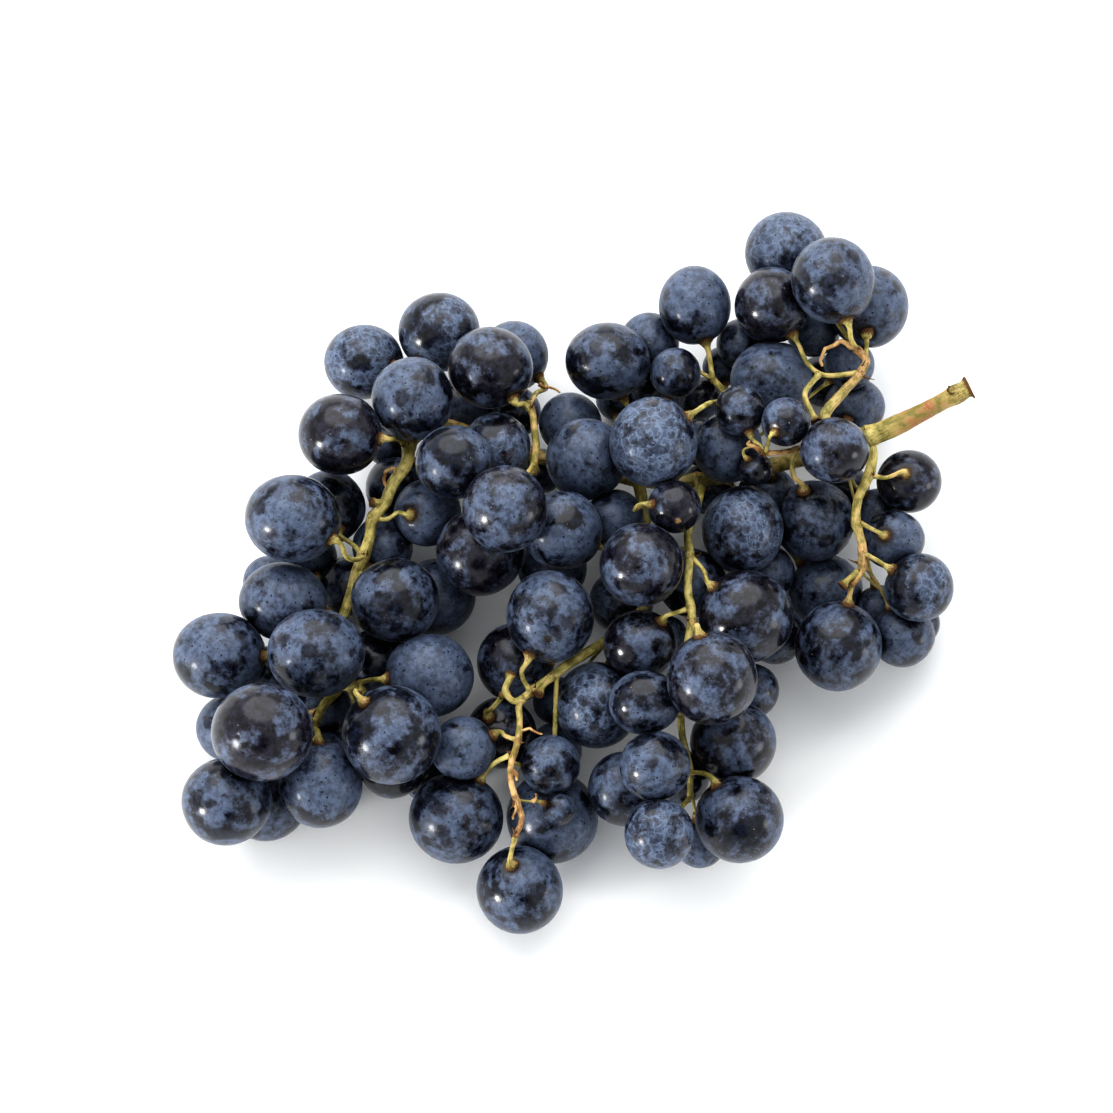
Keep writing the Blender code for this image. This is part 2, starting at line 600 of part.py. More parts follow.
def stem_object(points, radii, sides, twist, collection):
    """One closed tube: rings of vertices carried along points, square to the way between their neighbours.
    Tubes get different twists, in radians, so that no two share a plane."""
    places = to_world(points)
    along = unit(np.gradient(places, axis=0))
    side = unit(np.cross(along[0], np.eye(3)[np.abs(along[0]).argmin()]))
    turns = twist + np.linspace(0, 2 * np.pi, sides, endpoint=False)
    mesh = bmesh.new()
    rings = []
    for place, way, radius in zip(places, along, radii):
        side = unit(side - way * (side @ way))
        across = np.cross(way, side)
        offsets = np.cos(turns)[:, None] * side + np.sin(turns)[:, None] * across
        rings.append([mesh.verts.new(place + offset * radius * MM) for offset in offsets])
    for ring, following in zip(rings, rings[1:]):
        for k in range(sides):
            after = (k + 1) % sides
            mesh.faces.new([ring[k], ring[after], following[after], following[k]])
    mesh.faces.new(rings[0][::-1])
    mesh.faces.new(rings[-1])
    bmesh.ops.triangulate(mesh, faces=mesh.faces[:])
    bmesh.ops.recalc_face_normals(mesh, faces=mesh.faces[:])
    return linked_object("stem", mesh, collection)


def keep_main_body(item):
    """Drops loose scraps and the walls of sealed hollows, so the solid is one body."""
    mesh = bmesh.new()
    mesh.from_mesh(item.data)
    left = set(mesh.faces)
    bodies = []
    while left:
        body = set()
        rim = [left.pop()]
        while rim:
            face = rim.pop()
            body.add(face)
            for edge in face.edges:
                for other in edge.link_faces:
                    if other in left:
                        left.discard(other)
                        rim.append(other)
        bodies.append(body)
    bodies.sort(key=len)
    for body in bodies[:-1]:
        bmesh.ops.delete(mesh, geom=list(body), context="FACES")
    bmesh.ops.triangulate(mesh, faces=mesh.faces[:])
    mesh.to_mesh(item.data)
    mesh.free()


def apply_boolean(item, operation, **operand):
    modifier = item.modifiers.new("fuse", "BOOLEAN")
    modifier.operation = operation
    modifier.solver = "MANIFOLD"
    for setting, value in operand.items():
        setattr(modifier, setting, value)
    bpy.context.view_layer.update()
    graph = bpy.context.evaluated_depsgraph_get()
    mesh = bmesh.new()
    mesh.from_object(item, graph)
    item.modifiers.remove(modifier)
    mesh.to_mesh(item.data)
    mesh.free()


def fuse(name, pieces, helpers):
    """One solid from all pieces of a helper collection, which is then emptied."""
    body = pieces[0]
    helpers.objects.unlink(body)
    bpy.context.scene.collection.objects.link(body)
    body.name = name
    body.data.name = name
    apply_boolean(body, "UNION", operand_type="COLLECTION", collection=helpers)
    for piece in pieces[1:]:
        bpy.data.objects.remove(piece, do_unlink=True)
    return body


def stem_pieces(pedicels, growth, collection):
    """Every stem as its own tube. Growth thickens them and is left out of the rachis itself."""
    pieces = []
    for start, end, route in BRANCHES.values():
        points = seen_route(route)
        radii = np.linspace(start, end, len(points)) + growth
        pieces.append(stem_object(points, radii, BRANCH_SIDES, len(pieces), collection))
    for start, end, route in STUBS:
        points = seen_route(route)
        radii = np.append(np.full(len(points) - 1, start), end) + growth
        sides = PEDICEL_SIDES if start > STUB_THICK else HIDDEN_PEDICEL_SIDES
        pieces.append(stem_object(points, radii, sides, len(pieces), collection))
    for number, (_, points) in enumerate(pedicels):
        sides = PEDICEL_SIDES if number < len(PEDICELS) else HIDDEN_PEDICEL_SIDES
        pieces.append(stem_object(*pedicel_profile(points, growth), sides, len(pieces), collection))
    return pieces


def pedicel_profile(points, growth):
    """A pedicel's points and radii, swelling into the receptacle at its end."""
    back = unit(points[-2] - points[-1])
    points = np.vstack([points[:-1], points[-1] - back * growth])
    radii = np.full(len(points), PEDICEL_RADIUS)
    radii[-1] = RECEPTACLE_RADIUS
    return points, radii + growth


def shade(item, material):
    item.data.materials.clear()
    item.data.materials.append(material)
    item.data.shade_smooth()
    item.data.set_sharp_from_angle(angle=SHARP_EDGE)


def settled_berries():
    """The berries at rest against one another, the stems and the resting plane."""
    stem_points, stem_radii = stem_samples()
    berries = Berries()
    berries.settle(stem_points, stem_radii, *SETTLE_FIRST)
    berries.settle(stem_points, stem_radii, *SETTLE_LAST)
    return berries


def main():
    clear_scene()
    helpers = bpy.data.collections.new("helpers")
    bpy.context.scene.collection.children.link(helpers)
    berries = settled_berries()
    links = berries.links()
    gap, _ = berries.gaps()
    pedicels = all_pedicels(berries)
    rachis = fuse("rachis", stem_pieces(pedicels, 0, helpers), helpers)
    keep_main_body(rachis)
    groove = fuse("groove", [resting_block(helpers), *stem_pieces(pedicels, CLEARANCE, helpers)], helpers)
    wood = make_material("stem_green", STEM_GREEN, STEM_ROUGHNESS)
    skin = make_material("berry_skin", BERRY_BLUE, BERRY_ROUGHNESS)
    shade(rachis, wood)
    for spray, name in enumerate(SPRAYS):
        members = np.flatnonzero(berries.spray == spray)
        pieces = [berry_object(berries.centre[i], berries.half[i], helpers) for i in members]
        weak = [(a, b) for a, b in links if berries.spray[a] == spray and gap[a, b] > PRESSED_ENOUGH]
        pieces += [pressed_skin(berries, a, b, helpers) for a, b in weak]
        body = fuse(name, pieces, helpers)
        apply_boolean(body, "DIFFERENCE", object=groove)
        keep_main_body(body)
        shade(body, skin)
    bpy.data.objects.remove(groove, do_unlink=True)
    bpy.data.collections.remove(helpers)


main()
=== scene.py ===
# %% [markdown]
# # A bunch of dark blue table grapes
# The bunch lies on its side as it was picked. A green woody stem, the rachis, carries over a hundred round
# berries, which crowd and press on one another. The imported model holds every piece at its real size, with
# coarse faces. Here each spray of berries and the rachis get fine surfaces and real finishes in the same
# place.

from functools import partial

import bpy
import numpy as np
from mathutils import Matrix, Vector


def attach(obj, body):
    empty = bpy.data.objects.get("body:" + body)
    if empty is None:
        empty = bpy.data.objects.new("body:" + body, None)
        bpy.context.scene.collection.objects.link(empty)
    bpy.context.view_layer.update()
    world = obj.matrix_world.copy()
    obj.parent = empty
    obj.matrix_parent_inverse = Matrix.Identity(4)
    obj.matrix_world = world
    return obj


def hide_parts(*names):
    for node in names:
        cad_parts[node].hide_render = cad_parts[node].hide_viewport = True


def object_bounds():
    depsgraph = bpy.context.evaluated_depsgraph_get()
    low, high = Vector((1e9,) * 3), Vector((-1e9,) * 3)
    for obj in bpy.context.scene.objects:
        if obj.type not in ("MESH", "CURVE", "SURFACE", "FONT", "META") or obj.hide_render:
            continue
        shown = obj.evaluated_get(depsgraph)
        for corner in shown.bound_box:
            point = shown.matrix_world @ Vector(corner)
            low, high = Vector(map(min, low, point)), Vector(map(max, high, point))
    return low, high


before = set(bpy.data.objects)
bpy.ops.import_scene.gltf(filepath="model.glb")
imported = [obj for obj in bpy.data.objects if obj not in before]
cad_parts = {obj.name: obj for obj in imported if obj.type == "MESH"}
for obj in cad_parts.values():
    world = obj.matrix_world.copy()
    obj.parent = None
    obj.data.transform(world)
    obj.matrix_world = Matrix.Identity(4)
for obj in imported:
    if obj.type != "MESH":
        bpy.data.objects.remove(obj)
cad_bounds = [list(corner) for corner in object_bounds()]
print("nodes:", sorted(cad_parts))

# %% [markdown]
# ## Lines of sight
# The bunch is laid out as it looks from a camera that slants down on it. A place is "across" to the right,
# "up" away from the camera, and "height" above the surface it rests on, all in millimetres. Raising a berry
# along its line of sight doesn't change where it shows, so heights can be settled by pressing berries on one
# another while the look from that side stays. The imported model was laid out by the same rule, so both agree.

# %% Places along lines of sight
MM = 0.001
SIGHT_SLANT = np.radians(75)
SIGHT_DISTANCE = 1500.0
SIGHT_HEIGHT = 26.0
BOX_MIDDLE = (0.15, 2.59)


def on_sight_line(across, up, height):
    """The point at this height on the line of sight that passes the middle plane at (across, up)."""
    across, up, height = (np.asarray(value, float) for value in (across, up, height))
    eye_y = -SIGHT_DISTANCE * np.cos(SIGHT_SLANT)
    eye_z = SIGHT_HEIGHT + SIGHT_DISTANCE * np.sin(SIGHT_SLANT)
    plane_y = up * np.sin(SIGHT_SLANT)
    plane_z = SIGHT_HEIGHT + up * np.cos(SIGHT_SLANT)
    share = (height - eye_z) / (plane_z - eye_z)
    return np.stack([share * across, eye_y + share * (plane_y - eye_y), height + 0 * across], axis=-1)


def seen_place(points):
    """Where points show on the middle plane: the inverse of on_sight_line, as (across, up)."""
    eye = np.array([0, -np.cos(SIGHT_SLANT), np.sin(SIGHT_SLANT)]) * SIGHT_DISTANCE
    offset = points - np.array([0, 0, SIGHT_HEIGHT])
    nearness = offset @ eye / SIGHT_DISTANCE
    up = offset @ np.array([0, np.sin(SIGHT_SLANT), np.cos(SIGHT_SLANT)])
    share = 1 - nearness / SIGHT_DISTANCE
    return np.stack([offset[..., 0] / share, up / share], axis=-1)


def reach_of(half, directions):
    """How far an ellipsoid of half-widths reaches from its centre along unit directions."""
    return 1 / np.sqrt(((directions / half) ** 2).sum(-1))


def unit(vectors):
    """Vectors at length 1, and a null vector as straight up."""
    lengths = np.linalg.norm(vectors, axis=-1, keepdims=True)
    return np.where(lengths > 0, vectors / np.maximum(lengths, 1e-9), [0, 0, 1])


def to_world(points):
    """Metres from the model's millimetres, with the origin under the middle of the finished bunch."""
    return (np.asarray(points) - [BOX_MIDDLE[0], BOX_MIDDLE[1], 0]) * MM


# %% [markdown]
# ## The berries
# Each row is a berry: where it shows, how wide it is across and up, and how high its centre lies before it
# settles against its neighbours. A spray's berries are listed together, because they make one piece.

# %% Table of the berries
SPRAYS = {
    "shoulder_top": [
        (52, 78, 20.5, 20.5, 21), (63.5, 71, 20.5, 21, 40), (72, 64.5, 20, 20.5, 20),
        (48.5, 65, 18.5, 19, 33), (58.5, 59, 13.5, 13.5, 10), (67.5, 50.5, 12.5, 12.5, 19),
        (68.5, 40.5, 15.5, 14.5, 13), (61, 46.5, 13, 13, 11), (41, 55.5, 12.5, 12.5, 14),
        (36.5, 50, 10, 10, 6), (48.5, 47, 20.5, 19, 26),
    ],
    "shoulder_side": [
        (82, 22, 16, 15.5, 25), (74, 14, 13, 13, 13), (67, 20.5, 11, 11, 6), (78, 8, 15.5, 14.5, 23),
        (84.5, -4, 17, 16.5, 31), (80.5, -15.5, 15.5, 15.5, 20), (84, -12.5, 11, 11, 6),
        (74.5, -9, 12, 12, 12), (64.5, -18, 21.5, 22, 29), (61.5, -4.5, 18.5, 18.5, 12),
    ],
    "small_fruit": [
        (40.5, 39.5, 12.3, 12.5, 43), (52, 36.5, 12, 12, 42), (44.5, 25, 8.2, 8.2, 39),
        (64, 29.5, 16.5, 16, 42), (38, 30, 17, 17.5, 30), (31, 32, 11.5, 11.5, 17), (33, 20, 13, 13, 7),
    ],
    "upper_middle": [
        (30, 65, 18, 19.5, 26), (18.5, 56, 15, 15, 15), (8, 51.5, 21, 19.5, 27),
        (25.5, 48.5, 12.5, 12.5, 25), (31, 42.5, 11, 11, 6), (11, 42, 11, 11, 7), (21, 43.5, 14, 14, 10),
    ],
    "middle_side": [
        (41.5, 11, 20, 21.5, 35), (59.5, 12, 20, 20, 26), (42, -11.5, 23, 22.5, 32),
        (47.5, 0, 13.5, 13.5, 20), (49.5, -15.5, 14.5, 14.5, 12), (47, 19, 15, 15, 9), (29, -3, 17, 17, 13),
    ],
    "lower_middle": [
        (34, -26, 22, 22.5, 45), (43.5, -29, 13.5, 13.5, 14), (39, -41.5, 21, 20.5, 25),
        (40.5, -60.5, 21.5, 21, 32), (20, -47.5, 17, 17, 34), (21, -64, 16.5, 17, 29),
        (31, -66, 12.5, 12.5, 14), (17.5, -31.5, 17.5, 15.5, 36), (12.5, -53, 18.5, 18.5, 14),
        (5.5, -32.5, 20.5, 21, 19), (14.5, -17.5, 18, 16.5, 28), (11, -6, 16, 16, 10), (27, -50, 13, 13, 9),
        (25, -16.5, 10, 10, 6),
    ],
    "lower": [
        (-5.5, -11, 21.5, 22.5, 36), (-14, -22, 19, 19.5, 20), (-17.5, -39.5, 17.5, 17.5, 17),
        (-26.5, -43, 16, 15.5, 28), (-28.5, -60, 23, 22, 19), (-5.5, -47, 14.5, 14.5, 24),
        (-4.5, -43.5, 13.5, 13.5, 9), (-4, -31, 12, 12, 7), (-3.5, -58, 8, 8, 27),
        (-5, -60, 22.5, 22.5, 12), (-13, -77.5, 21, 21.5, 22),
    ],
    "top_left": [
        (-33, 59, 20.5, 19.5, 20), (-51.5, 51, 20, 18.5, 20), (-39.5, 42, 20, 20.5, 33),
        (-57, 33.5, 20.5, 20, 26), (-27, 40.5, 14.5, 14.5, 16), (-19.5, 50, 21, 20, 34),
        (-13.5, 52.5, 17, 17.5, 17), (-14, 39, 13, 13, 8),
    ],
    "centre": [
        (19.5, 32, 21.5, 22, 32), (3.5, 27, 20, 20, 38), (-0.5, 36.5, 15.5, 15.5, 23),
        (-18, 30.5, 17, 17, 29), (-29.5, 27, 19, 18, 40), (-2.5, 10, 19.5, 19.5, 30),
        (-16.5, 15, 20.5, 21, 44), (-23, 5, 21.5, 21.5, 27), (16.5, 1.5, 20.5, 20.5, 33),
        (10.5, 13, 14.5, 14.5, 20), (-8, 24, 11, 11, 6), (25, 16, 13, 13, 35), (-5, 1, 17, 17, 9),
    ],
    "left_wing": [
        (-35.5, 14, 16.5, 16.5, 19), (-43, 20.5, 15.5, 15.5, 8), (-45, 31, 11, 11, 6),
        (-60, 16, 18, 18.5, 10), (-68.5, 13, 23.5, 21.5, 29), (-46, 6, 15, 15, 8),
    ],
    "left_side": [
        (-70.5, -7, 22, 19, 22), (-74.5, -2.5, 13, 13, 7), (-63, 3.5, 13, 13, 7), (-74.5, -24.5, 13, 13, 7),
        (-86.5, -20.5, 23, 21, 20), (-62.5, -20, 24, 21.5, 36), (-55.5, -3, 14.5, 14.5, 8),
    ],
    "left_end": [
        (-76, -39, 24.5, 23.5, 41), (-84, -37.5, 16.5, 16.5, 12), (-84.5, -56, 22, 21, 29),
        (-74.5, -55.5, 21.5, 21.5, 10.5), (-61.5, -51.5, 20.5, 21.5, 27), (-60, -47, 17.5, 16.5, 9),
        (-61, -33, 14, 14, 7),
    ],
    "left_lower": [
        (-44, -6.5, 21.5, 20.5, 35), (-33, -6, 19, 19, 18), (-34.5, -25.5, 21.5, 20.5, 22),
        (-44.5, -40, 24, 24, 37), (-44, -47, 16.5, 16.5, 12), (-36, -50, 12, 12, 6.5),
        (-48.5, -22, 17, 17, 10),
    ],
}
print("berries in the table:", sum(len(rows) for rows in SPRAYS.values()))

# %% [markdown]
# ## The stems
# A rachis is a tree: the cut peduncle, the main axis, laterals, and a short pedicel to every berry. Each stem
# is a line of places in the same terms as the berries. Stubs are pedicels whose berries are gone, and dried
# twigs.

# %% Table of the branches
BRANCHES = {
    "peduncle": (2.2, 2.9, [(97.3, 45.3, 42), (92, 42.7, 41), (82, 37.2, 38), (72, 33, 34)]),
    "axis": (2.5, 1.8, [
        (72, 33, 34), (63, 29, 27), (53, 27, 21), (40, 24, 18), (24, 22, 17), (8, 24, 17), (-8, 28, 17),
        (-22, 33, 18), (-34, 36, 21), (-40, 31.5, 26),
    ]),
    "wing_axis": (1.9, 1.3, [
        (-40, 31.5, 26), (-40.5, 26.5, 28), (-44, 21.5, 28), (-46, 16.5, 28), (-49, 12.5, 27),
        (-49.5, 9, 26), (-51, 4.5, 25), (-52.5, 1, 24), (-54, -5, 22), (-56, -11, 21), (-57, -20, 19),
        (-57, -28, 18), (-60.5, -32, 18), (-63, -37, 18),
    ]),
    "top_shoulder": (1.9, 1.0, [
        (72, 33, 34), (66, 35, 36), (61.5, 37, 37), (66, 44, 37), (70, 48.5, 37), (71.5, 51.5, 37),
        (69, 54.5, 38),
    ]),
    "side_shoulder": (1.8, 1.1, [
        (72, 33, 34), (73, 29, 34), (72.5, 25, 33), (69.5, 17.5, 33), (69, 12.5, 33), (70.5, 6.5, 32),
        (70, -0.5, 31), (68, -3, 30),
    ]),
    "small_fruit_lateral": (1.2, 0.8, [
        (63, 29, 27), (56, 30.5, 32), (54.5, 30, 37), (51, 29.2, 40), (47, 29, 41),
    ]),
    "upper_lateral": (1.6, 0.9, [(38, 24, 18), (43, 33, 17), (39, 40, 21), (36, 45, 25), (34, 47, 26)]),
    "middle_lateral": (1.5, 1.0, [
        (30, 23, 17), (31, 20.5, 25), (30, 15, 31), (28, 9, 33), (28.5, 4.5, 33), (28, -4.5, 33),
        (29, -11.5, 34), (28, -17, 33), (27.5, -24, 31), (26.5, -33, 28), (26.5, -39, 27), (28.5, -48, 25),
        (28.5, -55, 23),
    ]),
    "bottom_lateral": (1.7, 1.3, [
        (16, 22.5, 17), (18, 10, 17), (19, -3, 17), (16, -10.5, 18), (10, -15.5, 22), (4.5, -19, 27),
        (-2.5, -23.5, 30), (-10, -29, 31),
    ]),
    "bottom_axis": (1.1, 0.8, [
        (-10, -29, 31), (-13, -32, 31), (-13, -36.5, 31), (-13.5, -41.5, 31), (-15, -46.5, 30),
        (-15, -51.5, 30), (-13.5, -56.5, 30), (-12.5, -60, 30), (-14, -64.5, 30),
    ]),
    "knob_lateral": (1.2, 1.0, [
        (-10, 28.5, 17), (-9, 24.5, 24), (-9.5, 26.5, 30), (-9, 29.5, 31), (-9.5, 35.5, 32), (-10, 39, 32),
        (-11, 41.5, 32),
    ]),
    "top_left_lateral": (1.6, 1.0, [(-34, 36, 21), (-38, 44, 20), (-42, 50, 20)]),
    "side_twig": (1.1, 1.0, [(-57, -28, 18), (-54, -28, 20), (-52, -27, 21)]),
}

# %% Table of the pedicels that show
PEDICELS = [
    ((63.5, 71), [(69, 54.5, 38), (67.8, 57, 39), (67, 60.5, 40)]),
    ((48.5, 65), [(70, 48.5, 37), (60, 48.5, 37), (57.5, 50.5, 36), (53.5, 57.5, 34)]),
    ((82, 22), [(73, 23.5, 33), (76, 23, 33), (80.5, 24, 33)]),
    ((78, 8), [(70, 12, 33), (73, 10.5, 32), (75.5, 9, 31)]),
    ((84.5, -4), [(71, 4.5, 32), (74, 3, 32), (77, 1, 31.5)]),
    ((80.5, -15.5), [(70.5, 2, 31), (73, -1, 28), (76, -6, 25)]),
    ((64.5, -18), [(68, -3, 30), (67, -7.5, 29.5)]),
    ((59.5, 12), [(54.5, 30, 37), (53.5, 27, 37), (54, 23, 36), (56, 20, 34)]),
    ((40.5, 39.5), [(47, 29, 41), (45.5, 31, 42), (43, 34, 43)]),
    ((52, 36.5), [(47, 29, 41), (47.5, 31, 43), (49, 34, 45)]),
    ((44.5, 25), [(47, 29, 41), (43, 30.5, 41), (41.5, 29.5, 41), (42.5, 27.5, 40.5)]),
    ((30, 65), [(34, 47, 26), (33.5, 51, 26), (32.5, 55.5, 26)]),
    ((19.5, 32), [(39, 40, 21), (35, 41.5, 28), (29, 38.5, 31)]),
    ((42, -11.5), [(29, 3.5, 33), (32, 0, 33), (33.5, -3, 33)]),
    ((14.5, -17.5), [(28.3, -9, 33), (25, -10, 31), (21.5, -12, 29)]),
    ((34, -26), [(29, -12, 34), (30, -14, 37), (31, -15.5, 40)]),
    ((40.5, -60.5), [(28.5, -49, 25), (31, -49, 28), (34, -50.5, 30)]),
    ((25, 16), [(31, 20.5, 25), (22, 18.5, 26), (15, 15, 31), (19, 16.5, 34)]),
    ((-5.5, -11), [(-10.5, -29, 31), (-12, -26.5, 32), (-12.5, -24, 34), (-10.5, -20.5, 35)]),
    ((-17.5, -39.5), [(-17, -30, 30), (-20, -33.5, 27), (-20.5, -35, 24)]),
    ((-26.5, -43), [(-13.3, -41, 31), (-16.5, -40, 30), (-19, -39.5, 29)]),
    ((-28.5, -60), [(-15, -44.5, 30), (-19, -46.5, 28), (-22.5, -50.5, 25)]),
    ((-3.5, -58), [(-14.5, -55.5, 30), (-9.5, -56, 30), (-7, -56.5, 28)]),
    ((-13, -77.5), [(-14, -64.5, 30), (-15, -68, 30), (-15, -71, 30)]),
    ((-19.5, 50), [(-10.5, 39.5, 32), (-12, 41, 32.5), (-14.5, 42, 33)]),
    ((-13.5, 52.5), [(-10.5, 41, 32), (-9, 43.5, 27), (-7.5, 46.5, 20)]),
    ((-35.5, 14), [(-48, 13, 27), (-45, 13, 29), (-42.5, 14.5, 29), (-39.5, 14, 29)]),
    ((-68.5, 13), [(-51, 4, 25), (-53, 3, 27), (-55, 3.5, 28), (-58.5, 8, 29)]),
    ((-60, 16), [(-51.5, 4.5, 25), (-54, 7, 21), (-57, 10, 18)]),
    ((-57, 33.5), [(-40.5, 31, 26), (-43, 32.5, 26), (-46, 32.5, 26)]),
    ((-86.5, -20.5), [(-56.5, -16, 20), (-66, -18, 20), (-75, -20.5, 20)]),
    ((-34.5, -25.5), [(-52, -27, 21), (-49.5, -26.3, 22), (-45.5, -26, 22)]),
    ((-44.5, -40), [(-52, -27, 21), (-52, -29, 24), (-51, -31.5, 28)]),
    ((-61.5, -51.5), [(-63, -37, 18), (-62.5, -39, 21), (-62, -41, 25)]),
]

# %% Table of the stubs and twigs
STUBS = [
    (0.8, 1.5, [(60, 48.3, 37), (56.5, 43, 39), (58, 39.5, 40), (59.5, 36.5, 41)]),
    (0.8, 1.4, [(69.5, 0, 31), (67, -2, 32), (65.5, -3.5, 32)]),
    (0.6, 0.9, [(68.5, 55, 38), (65, 56, 40), (61, 53.5, 39), (60.5, 50, 37)]),
    (0.5, 0.9, [(45.5, 30, 41), (42.5, 31.5, 42), (43, 32, 43)]),
    (0.9, 1.4, [(-12, -31, 31), (-14.5, -31.5, 32), (-16.5, -29, 33), (-15.5, -26, 33), (-15, -24.5, 33)]),
    (0.9, 1.2, [(-16.3, -29.5, 32.7), (-17, -30, 30.2)]),
    (0.9, 1.5, [(-5, -25.5, 31), (-7.5, -28, 32), (-8.5, -30, 32.5)]),
    (0.4, 0.5, [(-13.5, -38.5, 31), (-10, -38.5, 32), (-7.5, -39.5, 33)]),
    (0.5, 0.7, [(-14.5, -49, 30), (-13.5, -50.5, 32)]),
    (0.4, 0.5, [(-9.5, -56, 30), (-9, -54, 32)]),
    (0.4, 0.5, [(-13.7, -56.5, 30), (-14.5, -60, 31.5)]),
    (0.4, 0.5, [(-8, 45.7, 22.6), (-3, 44, 26)]),
    (0.8, 1.2, [(-46, 17, 28), (-49.5, 17, 29)]),
    (0.5, 0.8, [(-45, 20, 28), (-46, 24, 29), (-44, 25.5, 30), (-43, 23.5, 29)]),
    (0.8, 1.2, [(92, 42.7, 41), (92.5, 44.5, 43.5)]),
]

# %% [markdown]
# ## Settling the bunch
# Real berries rest against one another, against the stems and on the surface below. Here they start from the
# table's heights and are moved a little at a time: apart where they press too hard, together where a spray
# would fall in two, and off the stems, while each keeps to its line of sight. The rule and its numbers are
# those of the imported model, so every berry ends where its coarse solid is.

# %% The table as arrays
PRESS = 1.1
SPRAY_GAP = 0.6
STEM_ROOM = 0.75
FLOOR_SQUASH = 0.5


class Bunch:
    """Centres, half-widths, sprays and lines of sight of all berries, in millimetres."""

    def __init__(self):
        rows = [(spray, *berry) for spray, name in enumerate(SPRAYS) for berry in SPRAYS[name]]
        table = np.array(rows, float)
        self.spray = table[:, 0].astype(int)
        self.seen = table[:, 1:3]
        self.half = np.column_stack([table[:, 3], table[:, 4], table[:, 3:5].mean(axis=1)]) / 2
        self.centre = on_sight_line(self.seen[:, 0], self.seen[:, 1], table[:, 5])


bunch = Bunch()

# %% Gaps between berries, and the links that hold a spray together
def gaps_of(bunch):
    """The gap between each two berries, negative where they press, and the directions between them."""
    apart = bunch.centre[:, None] - bunch.centre[None]
    direction = unit(apart)
    reach = reach_of(bunch.half[:, None], direction)
    gap = np.linalg.norm(apart, axis=-1) - reach - reach.T
    np.fill_diagonal(gap, np.inf)
    return gap, direction


def links_of(bunch):
    """Pairs that hold each spray together: its shortest spanning tree by gap."""
    gap, _ = gaps_of(bunch)
    pairs = []
    for spray in range(len(SPRAYS)):
        members = list(np.flatnonzero(bunch.spray == spray))
        joined = [members.pop(0)]
        while members:
            nearest = gap[np.ix_(joined, members)]
            row, column = np.unravel_index(nearest.argmin(), nearest.shape)
            pairs.append((joined[row], members[column]))
            joined.append(members.pop(column))
    return np.array(pairs)


print("links:", len(links_of(bunch)))

# %% Points along the stems, which berries keep clear of
PEDICEL_RADIUS = 0.85
RECEPTACLE_RADIUS = 1.7
STEM_STEP = 2.0
TIP_SAMPLES = 3


def seen_route(points):
    """Rows of (across, up, height) as points in the model's millimetres."""
    return on_sight_line(*np.array(points, float).T)


def resample(points, step):
    """Points at even steps of length along a polyline."""
    lengths = np.append(0, np.cumsum(np.linalg.norm(np.diff(points, axis=0), axis=1)))
    at = np.linspace(0, lengths[-1], max(2, int(lengths[-1] / step) + 2))
    return np.column_stack([np.interp(at, lengths, points[:, axis]) for axis in range(3)])


def stem_samples():
    """Points and radii along every stem that shows or carries others, for keeping berries clear of them."""
    points = []
    radii = []
    for start, end, route in BRANCHES.values():
        along = resample(seen_route(route), STEM_STEP)
        points.append(along)
        radii.append(np.linspace(start, end, len(along)))
    for _, route in PEDICELS:
        along = resample(seen_route(route), STEM_STEP)[:-TIP_SAMPLES]
        points.append(along)
        radii.append(np.full(len(along), PEDICEL_RADIUS))
    return np.concatenate(points), np.concatenate(radii)


stem_points, stem_radii = stem_samples()
print("stem points:", len(stem_points))

# %% One stage of settling
BERRY_PUSH = 0.3
LINK_PULL = 0.15
STEM_PUSH = 0.5
STEP_MOST = 1.0


def settle(bunch, passes, hold):
    """In each pass, pushes apart what is too near, pulls links together, lifts off the surface, and holds
    each berry to its line of sight by the share hold."""
    same = bunch.spray[:, None] == bunch.spray[None]
    wanted = np.where(same, -PRESS, SPRAY_GAP)
    links = links_of(bunch)
    for _ in range(passes):
        gap, direction = gaps_of(bunch)
        short = np.clip(wanted - gap, 0, None)
        short[~np.isfinite(short)] = 0
        move = BERRY_PUSH * (short[..., None] * direction).sum(axis=1)
        a, b = links.T
        loose = np.clip(gap[a, b] + PRESS, 0, None)[:, None] * direction[a, b] * LINK_PULL
        np.add.at(move, a, -loose)
        np.add.at(move, b, loose)
        from_stem = bunch.centre[:, None] - stem_points[None]
        away = unit(from_stem)
        room = np.linalg.norm(from_stem, axis=-1) - reach_of(bunch.half[:, None], away) - stem_radii
        blocked = np.clip(STEM_ROOM - room, 0, None)
        move += STEM_PUSH * (blocked[..., None] * away).sum(axis=1)
        bunch.centre = bunch.centre + np.clip(move, -STEP_MOST, STEP_MOST)
        bunch.centre[:, 2] = np.maximum(bunch.centre[:, 2], bunch.half[:, 2] - FLOOR_SQUASH)
        line = on_sight_line(bunch.seen[:, 0], bunch.seen[:, 1], bunch.centre[:, 2])
        bunch.centre = bunch.centre + hold * (line - bunch.centre)


# %% All stages of settling
SETTLE_FIRST = (900, 0.5)
SETTLE_LAST = (300, 0.25)

settle(bunch, *SETTLE_FIRST)
settle(bunch, *SETTLE_LAST)
print("berries:", len(bunch.centre), "lowest centre:", round(float(bunch.centre[:, 2].min()), 2), "mm")

# %% [markdown]
# ## The way of each pedicel
# The pedicels that show follow the table and end on the berry nearest to their last place. Every other berry
# gets one that leaves the clearest short way from a branch. Where a pedicel ends is a berry's stem end, so
# this comes before the berries are shaped.

# %% Pedicels that show
FACET_GROWTH = 1.04
PEDICEL_GAP = 0.45
RIM_SHARE = 0.98


